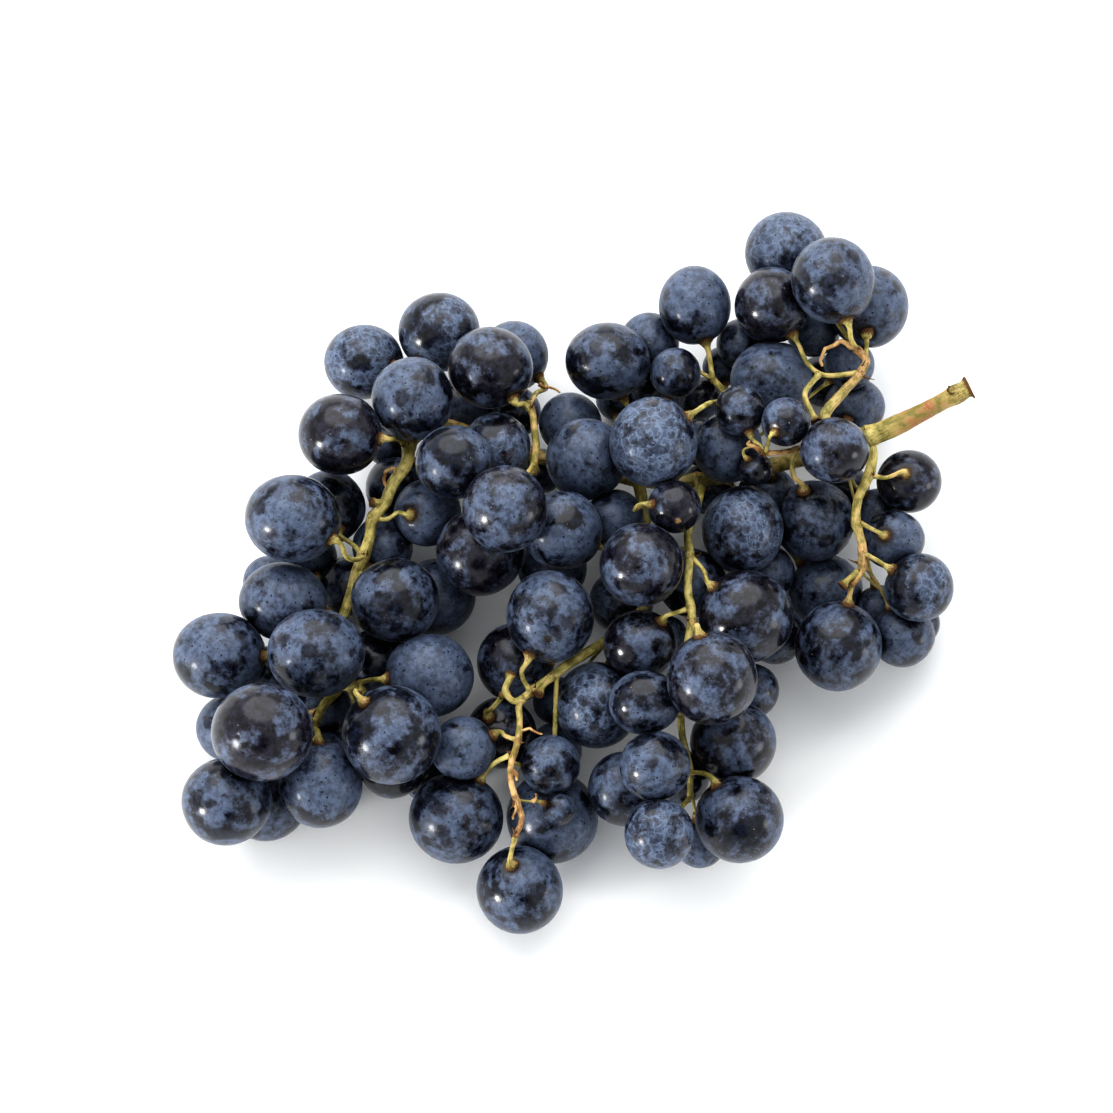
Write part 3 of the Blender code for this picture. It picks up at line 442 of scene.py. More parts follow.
def facing(bunch, index, across, up):
    """The direction from a berry's centre to where its skin shows at a place, or to its rim on that side."""
    half = bunch.half[index]
    offset = ([across, up] - seen_place(bunch.centre[index])) / half[:2]
    offset = offset * RIM_SHARE / max(np.linalg.norm(offset), RIM_SHARE)
    to_eye = np.sqrt(1 - (offset**2).sum())
    over = np.array([0, np.sin(SIGHT_SLANT), np.cos(SIGHT_SLANT)])
    ahead = np.array([0, -np.cos(SIGHT_SLANT), np.sin(SIGHT_SLANT)])
    return unit(half * [offset[0], 0, 0] + half[1] * offset[1] * over + half[2] * to_eye * ahead)


def shown_pedicels(bunch):
    """The pedicels that show, ended on their berries where the table says: [(berry, points), ...]. Their
    heights change evenly from the foot to the end that the settled berry gives."""
    found = []
    for seen, route in PEDICELS:
        berry = int(np.linalg.norm(bunch.seen - seen, axis=1).argmin())
        across, up, height = route[-1]
        out = facing(bunch, berry, across, up)
        end = bunch.centre[berry] + out * (reach_of(bunch.half[berry], out) * FACET_GROWTH + PEDICEL_GAP)
        points = np.array(route, float)
        points[:, 2] += np.linspace(0, end[2] - height, len(route))
        found.append((berry, np.vstack([seen_route(points)[:-1], end])))
    return found


pedicels = shown_pedicels(bunch)
print("pedicels that show:", len(pedicels))

# %% Pedicels that don't show
PEDICEL_REACH = 42.0
PEDICEL_BEND = 6.0
PEDICEL_STEPS = 8
FOOT_STEP = 4.0
LEAST_HEIGHT = 2.0
LENGTH_COST = 0.35
BEND_COST = 9.0
SHARED_FOOT_COST = 3.0
LOW_COST = 20.0
SHOWS_COST = 2.0


def covered(bunch, points):
    """Whether a berry lies between each point and the onlooker."""
    offset = seen_place(points)[..., None, :] - seen_place(bunch.centre)
    inside = ((offset / bunch.half[:, :2]) ** 2).sum(-1) < 1
    return (inside & (bunch.centre[:, 2] > points[..., 2:])).any(axis=-1)


def hidden_pedicel(bunch, index, feet, uses):
    """A curved pedicel from the branch point that leaves the clearest and shortest way to a berry. Feet
    already in use count as farther away, so pedicels spread along the branches."""
    centre = bunch.centre[index]
    choice = np.flatnonzero(np.linalg.norm(feet - centre, axis=1) < PEDICEL_REACH)
    near = feet[choice]
    bends = np.vstack([np.zeros(3), np.eye(3), -np.eye(3)]) * PEDICEL_BEND
    knee = (near[:, None] + centre) / 2 + bends
    out = unit(knee - centre)
    tip = centre + out * (reach_of(bunch.half[index], out) * FACET_GROWTH + PEDICEL_GAP)[..., None]
    t = np.linspace(0, 1, PEDICEL_STEPS + 1)[:, None]
    from_foot = near[:, None, None] * (1 - t) ** 2
    to_tip = tip[:, :, None] * t**2
    paths = from_foot + 2 * knee[:, :, None] * t * (1 - t) + to_tip
    others = np.delete(np.arange(len(bunch.centre)), index)
    apart = paths[..., None, :] - bunch.centre[others]
    inside = reach_of(bunch.half[others], unit(apart)) + PEDICEL_RADIUS - np.linalg.norm(apart, axis=-1)
    blocked = (np.clip(inside, 0, None) ** 2).sum(axis=(2, 3))
    length = np.linalg.norm(np.diff(paths, axis=2), axis=-1).sum(axis=2)
    low = np.clip(LEAST_HEIGHT - paths[..., 2].min(axis=2), 0, None)
    bent = np.arange(len(bends)) > 0
    shows = (~covered(bunch, paths)).sum(axis=2)
    cost = blocked + LENGTH_COST * length + BEND_COST * bent + LOW_COST * low + SHOWS_COST * shows
    cost = cost + SHARED_FOOT_COST * uses[choice][:, None]
    foot, bend = np.unravel_index(cost.argmin(), length.shape)
    uses[choice[foot]] += 1
    return paths[foot, bend]


shown_count = len(pedicels)
attached = {berry for berry, _ in pedicels}
feet = np.concatenate([resample(seen_route(route), FOOT_STEP) for _, _, route in BRANCHES.values()])
uses = np.zeros(len(feet))
for index in range(len(bunch.centre)):
    if index not in attached:
        pedicels.append((index, hidden_pedicel(bunch, index, feet, uses)))
print("pedicels in all:", len(pedicels))

# %% [markdown]
# ## Meshes from grids
# Every new piece is a set of closed surfaces. Each surface is a grid of places, row by row and round each
# row, whose first and last rows are single points, so its seam and its two poles are closed.

# %% A mesh from closed grids
def collapsed(grid):
    """The grid's values by vertex: one for the first row, all inner rows, one for the last row."""
    inner = grid[1:-1].reshape(-1, *grid.shape[2:])
    return np.concatenate([grid[0, :1], inner, grid[-1, :1]])


def grid_faces(rows, columns, first):
    """Corner numbers of a closed grid's faces: three-cornered round both poles and four-cornered between."""
    ring = first + 1 + np.arange((rows - 2) * columns).reshape(rows - 2, columns)
    after = np.roll(ring, -1, axis=1)
    last = first + 1 + ring.size
    start = np.stack([np.full(columns, first), ring[0], after[0]], axis=1)
    walls = np.stack([ring[:-1], ring[1:], after[1:], after[:-1]], axis=-1).reshape(-1, 4)
    end = np.stack([ring[-1], np.full(columns, last), after[-1]], axis=1)
    return start.tolist() + walls.tolist() + end.tolist(), last + 1


def mesh_piece(name, grids, **attributes):
    """One smooth object from closed grids of places in the model's millimetres. Each attribute is a list of
    grids of numbers or of vectors, one for each grid of places."""
    faces = []
    first = 0
    for grid in grids:
        found, first = grid_faces(*grid.shape[:2], first)
        faces += found
    mesh = bpy.data.meshes.new(name)
    places = to_world(np.concatenate([collapsed(grid) for grid in grids]))
    mesh.from_pydata(places, [], faces)
    for label, values in attributes.items():
        flat = np.concatenate([collapsed(value) for value in values]).astype(np.float32)
        kind, field = ("FLOAT", "value") if flat.ndim == 1 else ("FLOAT_VECTOR", "vector")
        mesh.attributes.new(label, kind, "POINT").data.foreach_set(field, flat.ravel())
    mesh.shade_smooth()
    piece = bpy.data.objects.new(name, mesh)
    bpy.context.scene.collection.objects.link(piece)
    print(name, len(mesh.vertices), "vertices")
    return piece


# %% [markdown]
# ## The shape of a berry
# A grape is nearly an ellipsoid. It has very gentle unevenness, a shallow dimple where the stem enters and a
# tiny scar at the far end, where the flower's style was. Where berries press on one another and on the
# surface below, their soft skins lie flat against each other.

# %% One berry's surface
BERRY_AROUND = 64
BERRY_ALONG = 46
POLE_CROWDING = 0.55
WAVES = 5
WAVE_SIZE = 0.006
WAVE_PACE = 2
DIMPLE_RADIUS = 2.3
DIMPLE_DEPTH = 0.6
USUAL_RADIUS = 10


def square_axes(axis):
    """Two unit vectors square to an axis and to each other."""
    side = unit(np.cross(axis, np.eye(3)[np.abs(axis).argmin()]))
    return side, np.cross(axis, side)


def berry_directions(axis):
    """Directions from the centre on a grid, stem end first, with rows crowded towards both poles."""
    v = np.linspace(0, 1, BERRY_ALONG)[:, None]
    polar = np.pi * v - POLE_CROWDING / 2 * np.sin(2 * np.pi * v)
    turn = np.linspace(0, 2 * np.pi, BERRY_AROUND, endpoint=False)[None]
    side, over = square_axes(axis)
    round_axis = np.cos(turn)[..., None] * side + np.sin(turn)[..., None] * over
    return np.cos(polar)[..., None] * axis + np.sin(polar)[..., None] * round_axis


def way_from(pole, directions, radius):
    """How far each direction lies from a pole, over the skin: the angle between them times the radius."""
    return np.arccos(np.clip(directions @ pole, -1, 1)) * radius


def berry_surface(half, axis, mark, random):
    """Places round the centre: the ellipsoid's reach times one plus a few low waves, less a bell-shaped
    dimple at the stem end and another at the mark."""
    direction = berry_directions(axis)
    waves = random.normal(size=(WAVES, 3)) * WAVE_PACE
    phases = random.uniform(0, 2 * np.pi, WAVES)
    uneven = 1 + WAVE_SIZE * np.cos(direction @ waves.T + phases).sum(axis=-1)
    reach = reach_of(half, direction) * uneven
    radius = half.mean()
    depth = DIMPLE_DEPTH * radius / USUAL_RADIUS
    reach = reach - depth * np.exp(-((way_from(axis, direction, radius) / DIMPLE_RADIUS) ** 2))
    pole, size, deep, _ = mark
    reach = reach - deep * np.exp(-((way_from(pole, direction, radius) / size) ** 2))
    return direction * reach[..., None]


# %% Skins that lie flat where they press
SOFTNESS = 0.12
SKIN_SEAM = 0.01
TOUCHING = 0.3


def flattened(places, direction, limit):
    """Places drawn back to the plane at a distance along a direction, with a soft edge: the way past the
    plane is taken off by the smooth ramp log(1 + exp(x))."""
    past = places @ direction - limit
    back = SOFTNESS * np.logaddexp(0, past / SOFTNESS)
    return places - back[..., None] * direction


def pressed(places, index):
    """A berry's places, flattened against its neighbours and the resting surface, and inside the sides of the
    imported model's box, which the outermost berries just touch."""
    for other in np.flatnonzero(gap[index] < TOUCHING):
        towards = -direction[index, other]
        reach = reach_of(bunch.half[index], towards)
        places = flattened(places, towards, reach + min(gap[index, other], 0) / 2 - SKIN_SEAM)
    for out, limit in zip(BOX_WAYS, box_limits):
        places = flattened(places, out, limit - bunch.centre[index] @ out)
    return places


BOX_WAYS = np.array([(0, 0, -1), (1, 0, 0), (-1, 0, 0), (0, 1, 0), (0, -1, 0)], float)
box_corners = np.array(cad_bounds) / MM + [*BOX_MIDDLE, 0]
box_limits = np.maximum(*(box_corners @ BOX_WAYS.T))
gap, direction = gaps_of(bunch)
print("pressed pairs:", int((gap < 0).sum() / 2))

# %% [markdown]
# ## The state of each skin
# Bloom rubs off where berries touch, and there the skin is also painted dark as shade, in the crevices between
# berries and against the surface below. So each vertex carries how close the nearest other berry or the
# surface is. It also carries its place in its own berry's terms, in millimetres from the centre with the stem
# end up, moved by a random amount. The patterns of the skin read that, so they follow the berry and never
# repeat.

# %% Skins by name
SKINS = {
    "cloudy": ((0.54, 0.25, 0.15), (0.45, 0.6, 0.4)),
    "blotched": ((0.62, 0.75, 0.15), (0.4, 0.9, 0.4)),
    "netted": ((0.6, 0.35, 0.95), (0.6, 0.4, 0.9)),
    "smooth": ((0.72, 0.15, 0.05), (0.2, 0.8, 0.3)),
    "rubbed": ((0.3, 0.25, 0.3), (0.95, 0.3, 0.5)),
    "dusty": ((0.5, 0.15, 0.5), (0.6, 0.3, 0.8)),
}
SHOWN_SKINS = {
    "netted": [(19.5, 32), (41.5, 11), (84.5, -4), (52, 78), (5.5, -32.5), (21, -64)],
    "blotched": [(63.5, 71), (72, 64.5), (-28.5, -60), (-68.5, 13), (-62.5, -20), (38, 30), (59.5, 12),
                 (8, 51.5), (-84.5, -56), (-29.5, 27), (30, 65), (-44, -6.5), (-5.5, -11)],
    "smooth": [(-70.5, -7), (-86.5, -20.5), (-34.5, -25.5), (-35.5, 14), (-2.5, 10), (-26.5, -43), (48.5, 47),
               (-5, -60), (3.5, 27), (78, 8)],
    "rubbed": [(-16.5, 15), (48.5, 65), (14.5, -17.5), (25, 16), (-14, -22), (64, 29.5), (-19.5, 50),
               (-57, 33.5), (82, 22), (34, -26), (42, -11.5), (16.5, 1.5)],
    "dusty": [(40.5, 39.5), (52, 36.5), (44.5, 25), (-5.5, -47), (-3.5, -58)],
}
SKIN_DRAW = ("cloudy", "cloudy", "blotched", "netted", "smooth", "rubbed")
MARKS = {
    "scar": (0.7, 0.35, 0.1, [(65.6, 28), (17.6, -52), (-5.9, -48), (-43.4, -42.2)]),
    "star": (1.5, 0.2, 0.95, [(-2.2, -58.3)]),
    "pucker": (1.9, 1.0, 0.02, [(-6.1, -16.6)]),
    "cork": (1.4, 0.1, 1.0, [(25.6, 12.4), (45.6, -19)]),
}
PLAIN_MARK = (0.45, 0.15, 0.0)
# Skin near a touch is left bare and near black: partly bloom rubbed off, partly painted shade in the crevices.
RUB_AND_SHADE_REACH = 0.8
RUB_AND_SHADE_SEARCH = 4.0
OFFSET_MOST = 400.0


def nearest_berry(bunch, across, up):
    """The berry that shows nearest to a place, by its half-widths."""
    offset = (bunch.seen - [across, up]) / bunch.half[:, :2]
    return int((offset**2).sum(axis=1).argmin())


# Painted shade as well as rubbed bloom: skin near other berries and the surface below is made bare and dark.
def rub_of(places, index):
    """How nearly each place touches another berry or the resting surface: 1 where it does."""
    near = np.flatnonzero(gap[index] < RUB_AND_SHADE_SEARCH)
    apart = places[..., None, :] - bunch.centre[near]
    free = np.linalg.norm(apart, axis=-1) - reach_of(bunch.half[near], unit(apart))
    free = np.concatenate([free, places[..., 2:]], axis=-1)
    return np.exp(-np.clip(free.min(axis=-1), 0, None) / RUB_AND_SHADE_REACH)


def own_places(axis, places, random):
    """Places in the berry's own terms, moved by a random amount."""
    side, over = square_axes(axis)
    return places @ np.stack([side, over, axis], axis=1) + random.uniform(0, OFFSET_MOST, 3)


def mark_places(mark, places):
    """Each place's way from the mark over the skin, as a share of the mark's size along two directions, and
    the mark's tint."""
    pole, size, _, tint = mark
    side, over = square_axes(pole)
    direction = unit(places)
    far = way_from(pole, direction, np.linalg.norm(places, axis=-1)) / size
    flat = np.stack([direction @ side, direction @ over], axis=-1)
    flat = flat / np.maximum(np.linalg.norm(flat, axis=-1, keepdims=True), 1e-6) * far[..., None]
    return np.concatenate([flat, np.full((*far.shape, 1), tint)], axis=-1)


skin_of = {nearest_berry(bunch, *seen): name for name, places in SHOWN_SKINS.items() for seen in places}
shown_marks = {}
for size, deep, tint, places in MARKS.values():
    for seen in places:
        berry = nearest_berry(bunch, *seen)
        shown_marks[berry] = (facing(bunch, berry, *seen), size, deep, tint)
print("berries given a skin:", len(skin_of), "and a mark:", len(shown_marks))

# %% The sprays of berries
BERRY_SEED = 4
LOOK_CHANGE = 0.08

stem_end = {berry: unit(points[-1] - bunch.centre[berry]) for berry, points in pedicels}
random = np.random.default_rng(BERRY_SEED)
sprays = {}
for spray, name in enumerate(SPRAYS):
    grids, own, look, mood, rub, stem_way, marks = [], [], [], [], [], [], []
    for index in np.flatnonzero(bunch.spray == spray):
        axis = stem_end[index]
        mark = shown_marks.get(index, (-axis, *PLAIN_MARK))
        places = pressed(berry_surface(bunch.half[index], axis, mark, random), index)
        grids.append(places + bunch.centre[index])
        own.append(own_places(axis, places, random))
        # How near each place lies to a touch, which darkens it there: rubbed bloom and painted shade.
        rub.append(rub_of(grids[-1], index))
        drawn = SKIN_DRAW[random.integers(len(SKIN_DRAW))]
        state = np.array(SKINS[skin_of.get(index, drawn)]) + random.normal(size=(2, 3)) * LOOK_CHANGE
        look.append(np.broadcast_to(state[0], places.shape))
        mood.append(np.broadcast_to(state[1], places.shape))
        stem_way.append(way_from(axis, unit(places), bunch.half[index].mean()))
        marks.append(mark_places(mark, places))
    sprays[name] = mesh_piece(
        f"berries_{name}", grids, own=own, look=look, mood=mood, rub=rub, stem_way=stem_way, mark=marks
    )
    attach(sprays[name], "root")
    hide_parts(name)

# %% [markdown]
# ## Building materials
# A material here is a small tree of nodes. One function adds a node, with its settings and with what each of
# its inputs gets: a number, a colour, or another node's output. A Mix node takes its share at socket 0,
# numbers at 2 and 3, and colours at 6 and 7, where its result comes out at 2.

# %% Adding nodes
SMOOTH = {"interpolation_type": "SMOOTHSTEP"}
COLOURS = {"out": 2, "data_type": "RGBA"}


def linear(hex_colour):
    """The linear colour of an sRGB hex value."""
    srgb = np.array([int(hex_colour[k : k + 2], 16) for k in (1, 3, 5)]) / 255
    low = srgb / 12.92
    high = ((srgb + 0.055) / 1.055) ** 2.4
    return (*np.where(srgb <= 0.04045, low, high).tolist(), 1.0)


def add_node(tree, kind, inputs=(), out=0, **settings):
    """Adds a node with its settings. Inputs are values or other nodes' outputs, in order, or by name or
    number. It gives the output with the wanted name or number."""
    node = tree.nodes.new("ShaderNode" + kind)
    for name, value in settings.items():
        setattr(node, name, value)
    for socket, value in inputs.items() if isinstance(inputs, dict) else enumerate(inputs):
        if isinstance(value, bpy.types.NodeSocket):
            tree.links.new(value, node.inputs[socket])
        else:
            node.inputs[socket].default_value = value
    return node.outputs[out] if len(node.outputs) else node


def new_material(name):
    """An empty material, and the function that adds a node to it."""
    material = bpy.data.materials.new(name)
    material.use_nodes = True
    material.node_tree.nodes.clear()
    return material, partial(add_node, material.node_tree)


# %% [markdown]
# ## Grape skin under bloom
# The skin of a ripe dark grape is thin, smooth and nearly black, with a brown or purple cast where the light
# catches it. Over it lies bloom, a dusty wax that scatters slate-blue light. It comes in clouds some 8 mm
# wide that break up into mottling under 2 mm, with rubbed spots some 4 mm wide, a net of pale threads about 2
# mm apart where drops have dried, and dark pores of half a millimetre. The wax is matt and the bare skin
# glossy, so the roughness follows the bloom. The patterns read each berry's own places, so a scale of 1 over
# a size gives that size in millimetres.

# %% Places and states that the skin reads
skin, add = new_material("grape_skin_with_bloom")
vectors, numbers = ("own", "look", "mood", "mark"), ("rub", "stem_way")
own, look, mood, mark = (add("Attribute", out="Vector", attribute_name=name) for name in vectors)
rub, stem_way = (add("Attribute", out="Fac", attribute_name=name) for name in numbers)
amount, spottiness, nettiness = (add("SeparateXYZ", (look,), out=k) for k in range(3))
brownness, speckiness, paleness = (add("SeparateXYZ", (mood,), out=k) for k in range(3))

# %% Clouds of bloom
CLOUD_SIZE = 8.5
MOTTLE_SIZE = 1.9
GRAIN_SIZE = 0.55
MOTTLE_SHARE = 0.3
AMOUNT_SHARE = 0.25

cloud = add("TexNoise", {"Vector": own, "Scale": 1 / CLOUD_SIZE, "Detail": 2.0, "Distortion": 0.6})
mottle = add("TexNoise", {"Vector": own, "Scale": 1 / MOTTLE_SIZE, "Detail": 5.0, "Roughness": 0.7})
grain = add("TexNoise", {"Vector": own, "Scale": 1 / GRAIN_SIZE, "Detail": 2.0, "Roughness": 0.65})
both = add("Mix", {0: MOTTLE_SHARE, 2: cloud, 3: mottle})
both = add("Math", (amount, AMOUNT_SHARE, both), operation="MULTIPLY_ADD")
cover = add("MapRange", (both, 0.54, 0.69), **SMOOTH)
depth = add("MapRange", (mottle, 0.35, 0.65), **SMOOTH)
fine = add("MapRange", (grain, 0.3, 0.7, -0.3, 0.3))
thickness = add("Math", (depth, fine), operation="ADD", use_clamp=True)

# %% Rubbed spots, with warped edges
SPOT_SIZE = 5.2
WARP_SIZE = 2.0
WARP_WAY = (3.6, 3.6, 3.6)

warp = add("TexNoise", {"Vector": own, "Scale": 1 / WARP_SIZE, "Detail": 3.0}, out="Color")
warped = add("VectorMath", (warp, WARP_WAY, own), operation="MULTIPLY_ADD")
spot = add("TexVoronoi", {"Vector": warped, "Scale": 1 / SPOT_SIZE})
spot_draw = add("TexVoronoi", {"Vector": warped, "Scale": 1 / SPOT_SIZE}, out="Color")
spot_draw = add("SeparateXYZ", (spot_draw,))
chosen = add("Math", (spot_draw, spottiness), operation="LESS_THAN")
inside = add("MapRange", (spot, 0.26, 0.5, 1.0, 0.0), **SMOOTH)
inside = add("Math", (inside, chosen), operation="MULTIPLY")
kept = add("Math", (inside, -0.85, 1.0), operation="MULTIPLY_ADD")
cover = add("Math", (cover, kept), operation="MULTIPLY")

# %% Rings and threads where drops have dried
NET_SIZE = 2.3

edge = add("TexVoronoi", {"Vector": warped, "Scale": 1 / NET_SIZE}, feature="DISTANCE_TO_EDGE")
cell = add("TexVoronoi", {"Vector": warped, "Scale": 1 / NET_SIZE}, out="Color")
cell = add("SeparateXYZ", (cell,))
thread = add("MapRange", (edge, 0.0, 0.1, 0.55, 0.0), **SMOOTH)
partly = add("MapRange", (both, 0.55, 0.68), **SMOOTH)
partly = add("Math", (partly, fine), operation="ADD", use_clamp=True)
for factor in (partly, nettiness):
    thread = add("Math", (thread, factor), operation="MULTIPLY")
hollow = add("MapRange", (edge, 0.04, 0.3), **SMOOTH)
for factor in (cell, nettiness):
    hollow = add("Math", (hollow, factor), operation="MULTIPLY")
hollow = add("Math", (hollow, -0.7, 1.0), operation="MULTIPLY_ADD")
cover = add("Math", (cover, hollow), operation="MULTIPLY")
cover = add("Math", (thread, 0.4, cover), operation="MULTIPLY_ADD")

# %% Pores, and skin rubbed bare and painted dark as shade where berries touch
PORE_SIZE = 1.5

pore = add("TexVoronoi", {"Vector": own, "Scale": 1 / PORE_SIZE})
pore_draw = add("TexVoronoi", {"Vector": own, "Scale": 1 / PORE_SIZE}, out="Color")
pore_draw = add("SeparateXYZ", (pore_draw,))
some = add("MapRange", (cloud, 0.42, 0.58), **SMOOTH)
some = add("Math", (some, speckiness), operation="MULTIPLY")
some = add("Math", (pore_draw, some), operation="LESS_THAN")
pore = add("MapRange", (pore, 0.12, 0.22, 0.9, 0.0), **SMOOTH)
pore = add("Math", (pore, some), operation="MULTIPLY")
# Skin near a touch loses its bloom and film and goes near black: partly rubbed-off bloom, partly painted
# shade.
bare = add("Math", (rub, pore), operation="MAXIMUM")
kept = add("Math", (1.0, bare), operation="SUBTRACT")
bloom = add("Math", (cover, kept), operation="MULTIPLY", use_clamp=True)

# %% Colours of skin, of the thin film of dust and of wax
BARE_BLACK = linear("#0b0a10")
FILM_BLUE = linear("#232837")
FILM_PURPLE = linear("#322d38")
WAX_THIN = linear("#404859")
WAX_THICK = linear("#5e6a80")
WAX_PALE = linear("#7d8da4")

ripe = add("MapRange", (cloud, 0.4, 0.6, -0.4, 0.4))
ripe = add("Math", (ripe, brownness), operation="ADD", use_clamp=True)
film = add("Mix", {0: ripe, 6: FILM_BLUE, 7: FILM_PURPLE}, **COLOURS)
filmed = add("MapRange", (mottle, 0.38, 0.62, 0.0, 0.9), **SMOOTH)
filmed = add("Math", (filmed, kept), operation="MULTIPLY")
base = add("Mix", {0: filmed, 6: BARE_BLACK, 7: film}, **COLOURS)
wax = add("Mix", {0: thickness, 6: WAX_THIN, 7: WAX_THICK}, **COLOURS)
pale = add("Math", (thread, paleness), operation="MULTIPLY", use_clamp=True)
wax = add("Mix", {0: pale, 6: wax, 7: WAX_PALE}, **COLOURS)
colour = add("Mix", {0: bloom, 6: base, 7: wax}, **COLOURS)

# %% Pale dust dots, the ring at the stem and the mark
DOT_SIZE = 3.4
DUST_PALE = linear("#cfc9c0")
SCAR_DARK = linear("#241a17")
SCAR_TAN = linear("#a98a63")

dot = add("TexVoronoi", {"Vector": own, "Scale": 1 / DOT_SIZE})
dot = add("MapRange", (dot, 0.02, 0.06, 0.5, 0.0), **SMOOTH)
colour = add("Mix", {0: dot, 6: colour, 7: DUST_PALE}, **COLOURS)
ring = add("MapRange", (stem_way, 1.9, 3.4, 0.85, 0.0), **SMOOTH)
colour = add("Mix", {0: ring, 6: colour, 7: SCAR_DARK}, **COLOURS)
mark_tint = add("SeparateXYZ", (mark,), out=2)
mark_way = add("VectorMath", (mark, (1.0, 1.0, 0.0)), operation="MULTIPLY")
mark_way = add("VectorMath", (mark_way,), out="Value", operation="LENGTH")
mark_way = add("Math", (grain, 1.2, mark_way), operation="MULTIPLY_ADD")
in_mark = add("MapRange", (mark_way, 0.9, 1.3, 1.0, 0.0), **SMOOTH)
tint = add("Mix", {0: mark_tint, 6: SCAR_DARK, 7: SCAR_TAN}, **COLOURS)
colour = add("Mix", {0: in_mark, 6: colour, 7: tint}, **COLOURS)

# %% Gloss, relief and the whole skin
gloss = add("MapRange", (bloom, 0.0, 1.0, 0.2, 0.52))
relief = add("Mix", {0: 0.5, 2: bloom, 3: grain})
bump = add("Bump", {"Strength": 0.3, "Distance": 0.00012, "Height": relief})
SHEEN_TINT = linear("#b9c8dc")
shader = add(
    "BsdfPrincipled",
    {"Base Color": colour, "Roughness": gloss, "IOR": 1.42, "Normal": bump, "Coat Weight": 0.2,
     "Coat Roughness": 0.15, "Sheen Weight": 0.2, "Sheen Roughness": 0.2, "Sheen Tint": SHEEN_TINT},
)
add("OutputMaterial", (shader,))
for piece in sprays.values():
    piece.data.materials.append(skin)
print("skin nodes:", len(skin.node_tree.nodes))

# %% [markdown]
# ## The stems' shape
# The green wood of a rachis swells at every fork and at its foot. A pedicel widens at its tip into the
# receptacle, a warty collar that the berry sits on. Each stem is a round profile carried along a smooth curve
# through its places. The radius changes with the way along it, and ridges and warts change it round the
# profile.

# %% A smooth curve through places
def smooth_path(points, step):
    """A curve through points at even steps. Between two points it is the cubic that keeps both slopes."""
    lengths = np.append(0, np.cumsum(np.linalg.norm(np.diff(points, axis=0), axis=1)))
    slopes = np.gradient(points, lengths, axis=0)
    at = np.linspace(0, lengths[-1], max(4, int(lengths[-1] / step) + 1))
    k = np.clip(np.searchsorted(lengths, at, "right") - 1, 0, len(points) - 2)
    span = (lengths[k + 1] - lengths[k])[:, None]
    t = (at[:, None] - lengths[k][:, None]) / span
    ends = (2 * t**3 - 3 * t**2 + 1) * points[k] + (3 * t**2 - 2 * t**3) * points[k + 1]
    turns = (t**3 - 2 * t**2 + t) * slopes[k] + (t**3 - t**2) * slopes[k + 1]
    return ends + span * turns, at


# %% A stem's surface
STEM_SIDES = 18
HIDDEN_SIDES = 10
STEM_ROW = 0.45
HIDDEN_ROW = 1.2
RIDGE_SIZE = 0.05
ROUND_CAP = ((0.18, 0.87), (0.31, 0.5), (0.35, 0.1))
CUT_CAP = ((0.06, 0.95), (-0.05, 0.86), (-0.3, 0.62), (-0.22, 0.1))
RIDGES = ((2, 1, 5), (3, 1, -3), (5, 0.6, 7))


def with_cap(path, radii, cap):
    """A path, its directions and its radii, with the rings of a cap after the last one. Each ring is a way
    onwards and a radius, both as shares of the stem's last radius."""
    along = unit(np.gradient(path, axis=0))
    onwards, shares = np.array(cap).T
    more = path[-1] + along[-1] * (onwards * radii[-1])[:, None]
    longer = np.vstack([along, np.repeat(along[-1:], len(cap), axis=0)])
    return np.vstack([path, more]), longer, np.append(radii, shares * radii[-1])


def stem_surface(path, along, radii, random, warts, sides):
    """The profile's rings along a path, closed with a point at each end. Round the ring the radius has a few
    low waves, which drift along the stem, and warts, which are short waves kept only where they rise."""
    side = unit(np.cross(along, np.eye(3)[np.abs(along).max(axis=0).argmin()]))
    over = np.cross(side, along)
    turn = np.linspace(0, 2 * np.pi, sides, endpoint=False)[None]
    way = np.append(0, np.cumsum(np.linalg.norm(np.diff(path, axis=0), axis=1)))[:, None]
    *starts, wart_start = random.uniform(0, 2 * np.pi, len(RIDGES) + 1)
    uneven = 0 * way
    for (waves, height, drift), start in zip(RIDGES, starts):
        uneven = uneven + height * np.sin(waves * turn + start + way / drift)
    knobbly = np.sin(4 * turn + wart_start + 3 * way) * np.sin(3 * turn + 5 * way + starts[0])
    knobbly = np.clip(knobbly, 0, None)
    radius = radii[:, None] * (1 + RIDGE_SIZE * uneven + warts[:, None] * knobbly)
    round_path = np.cos(turn)[..., None] * side[:, None] + np.sin(turn)[..., None] * over[:, None]
    rings = path[:, None] + radius[..., None] * round_path
    fibre = np.stack([np.cos(turn) * radius, np.sin(turn) * radius, way + 0 * turn], axis=-1)
    fibre = fibre + random.uniform(0, OFFSET_MOST, 3)
    first = np.broadcast_to(path[0], rings[:1].shape)
    last = np.broadcast_to(path[-1], rings[:1].shape)
    return np.concatenate([first, rings, last]), np.concatenate([fibre[:1], fibre, fibre[-1:]])


class Stems:
    """Surfaces of stems, with the places along their fibres and the state of their wood."""

    def __init__(self):
        self.surfaces, self.fibres, self.woods = [], [], []

    def add(self, path, radii, random, wood, warts=0.0, sides=STEM_SIDES, cap=ROUND_CAP):
        """Adds a stem. The wood's state has a row for each ring: how corky, how reddish and how dry it is."""
        warts = np.broadcast_to(warts, radii.shape)
        longer, along, radii = with_cap(path, radii, cap)
        rings = np.minimum(np.arange(len(longer)), len(path) - 1)
        surface, fibre = stem_surface(longer, along, radii, random, warts[rings], sides)
        state = np.asarray(wood)[np.concatenate([rings[:1], rings, rings[-1:]])]
        self.surfaces.append(surface)
        self.fibres.append(fibre)
        self.woods.append(np.repeat(state[:, None], sides, axis=1))

    def piece(self, name):
        """The stems as one object on the root body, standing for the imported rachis."""
        made = mesh_piece(name, self.surfaces, fibre=self.fibres, wood=self.woods)
        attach(made, "root")
        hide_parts("rachis")
        return made


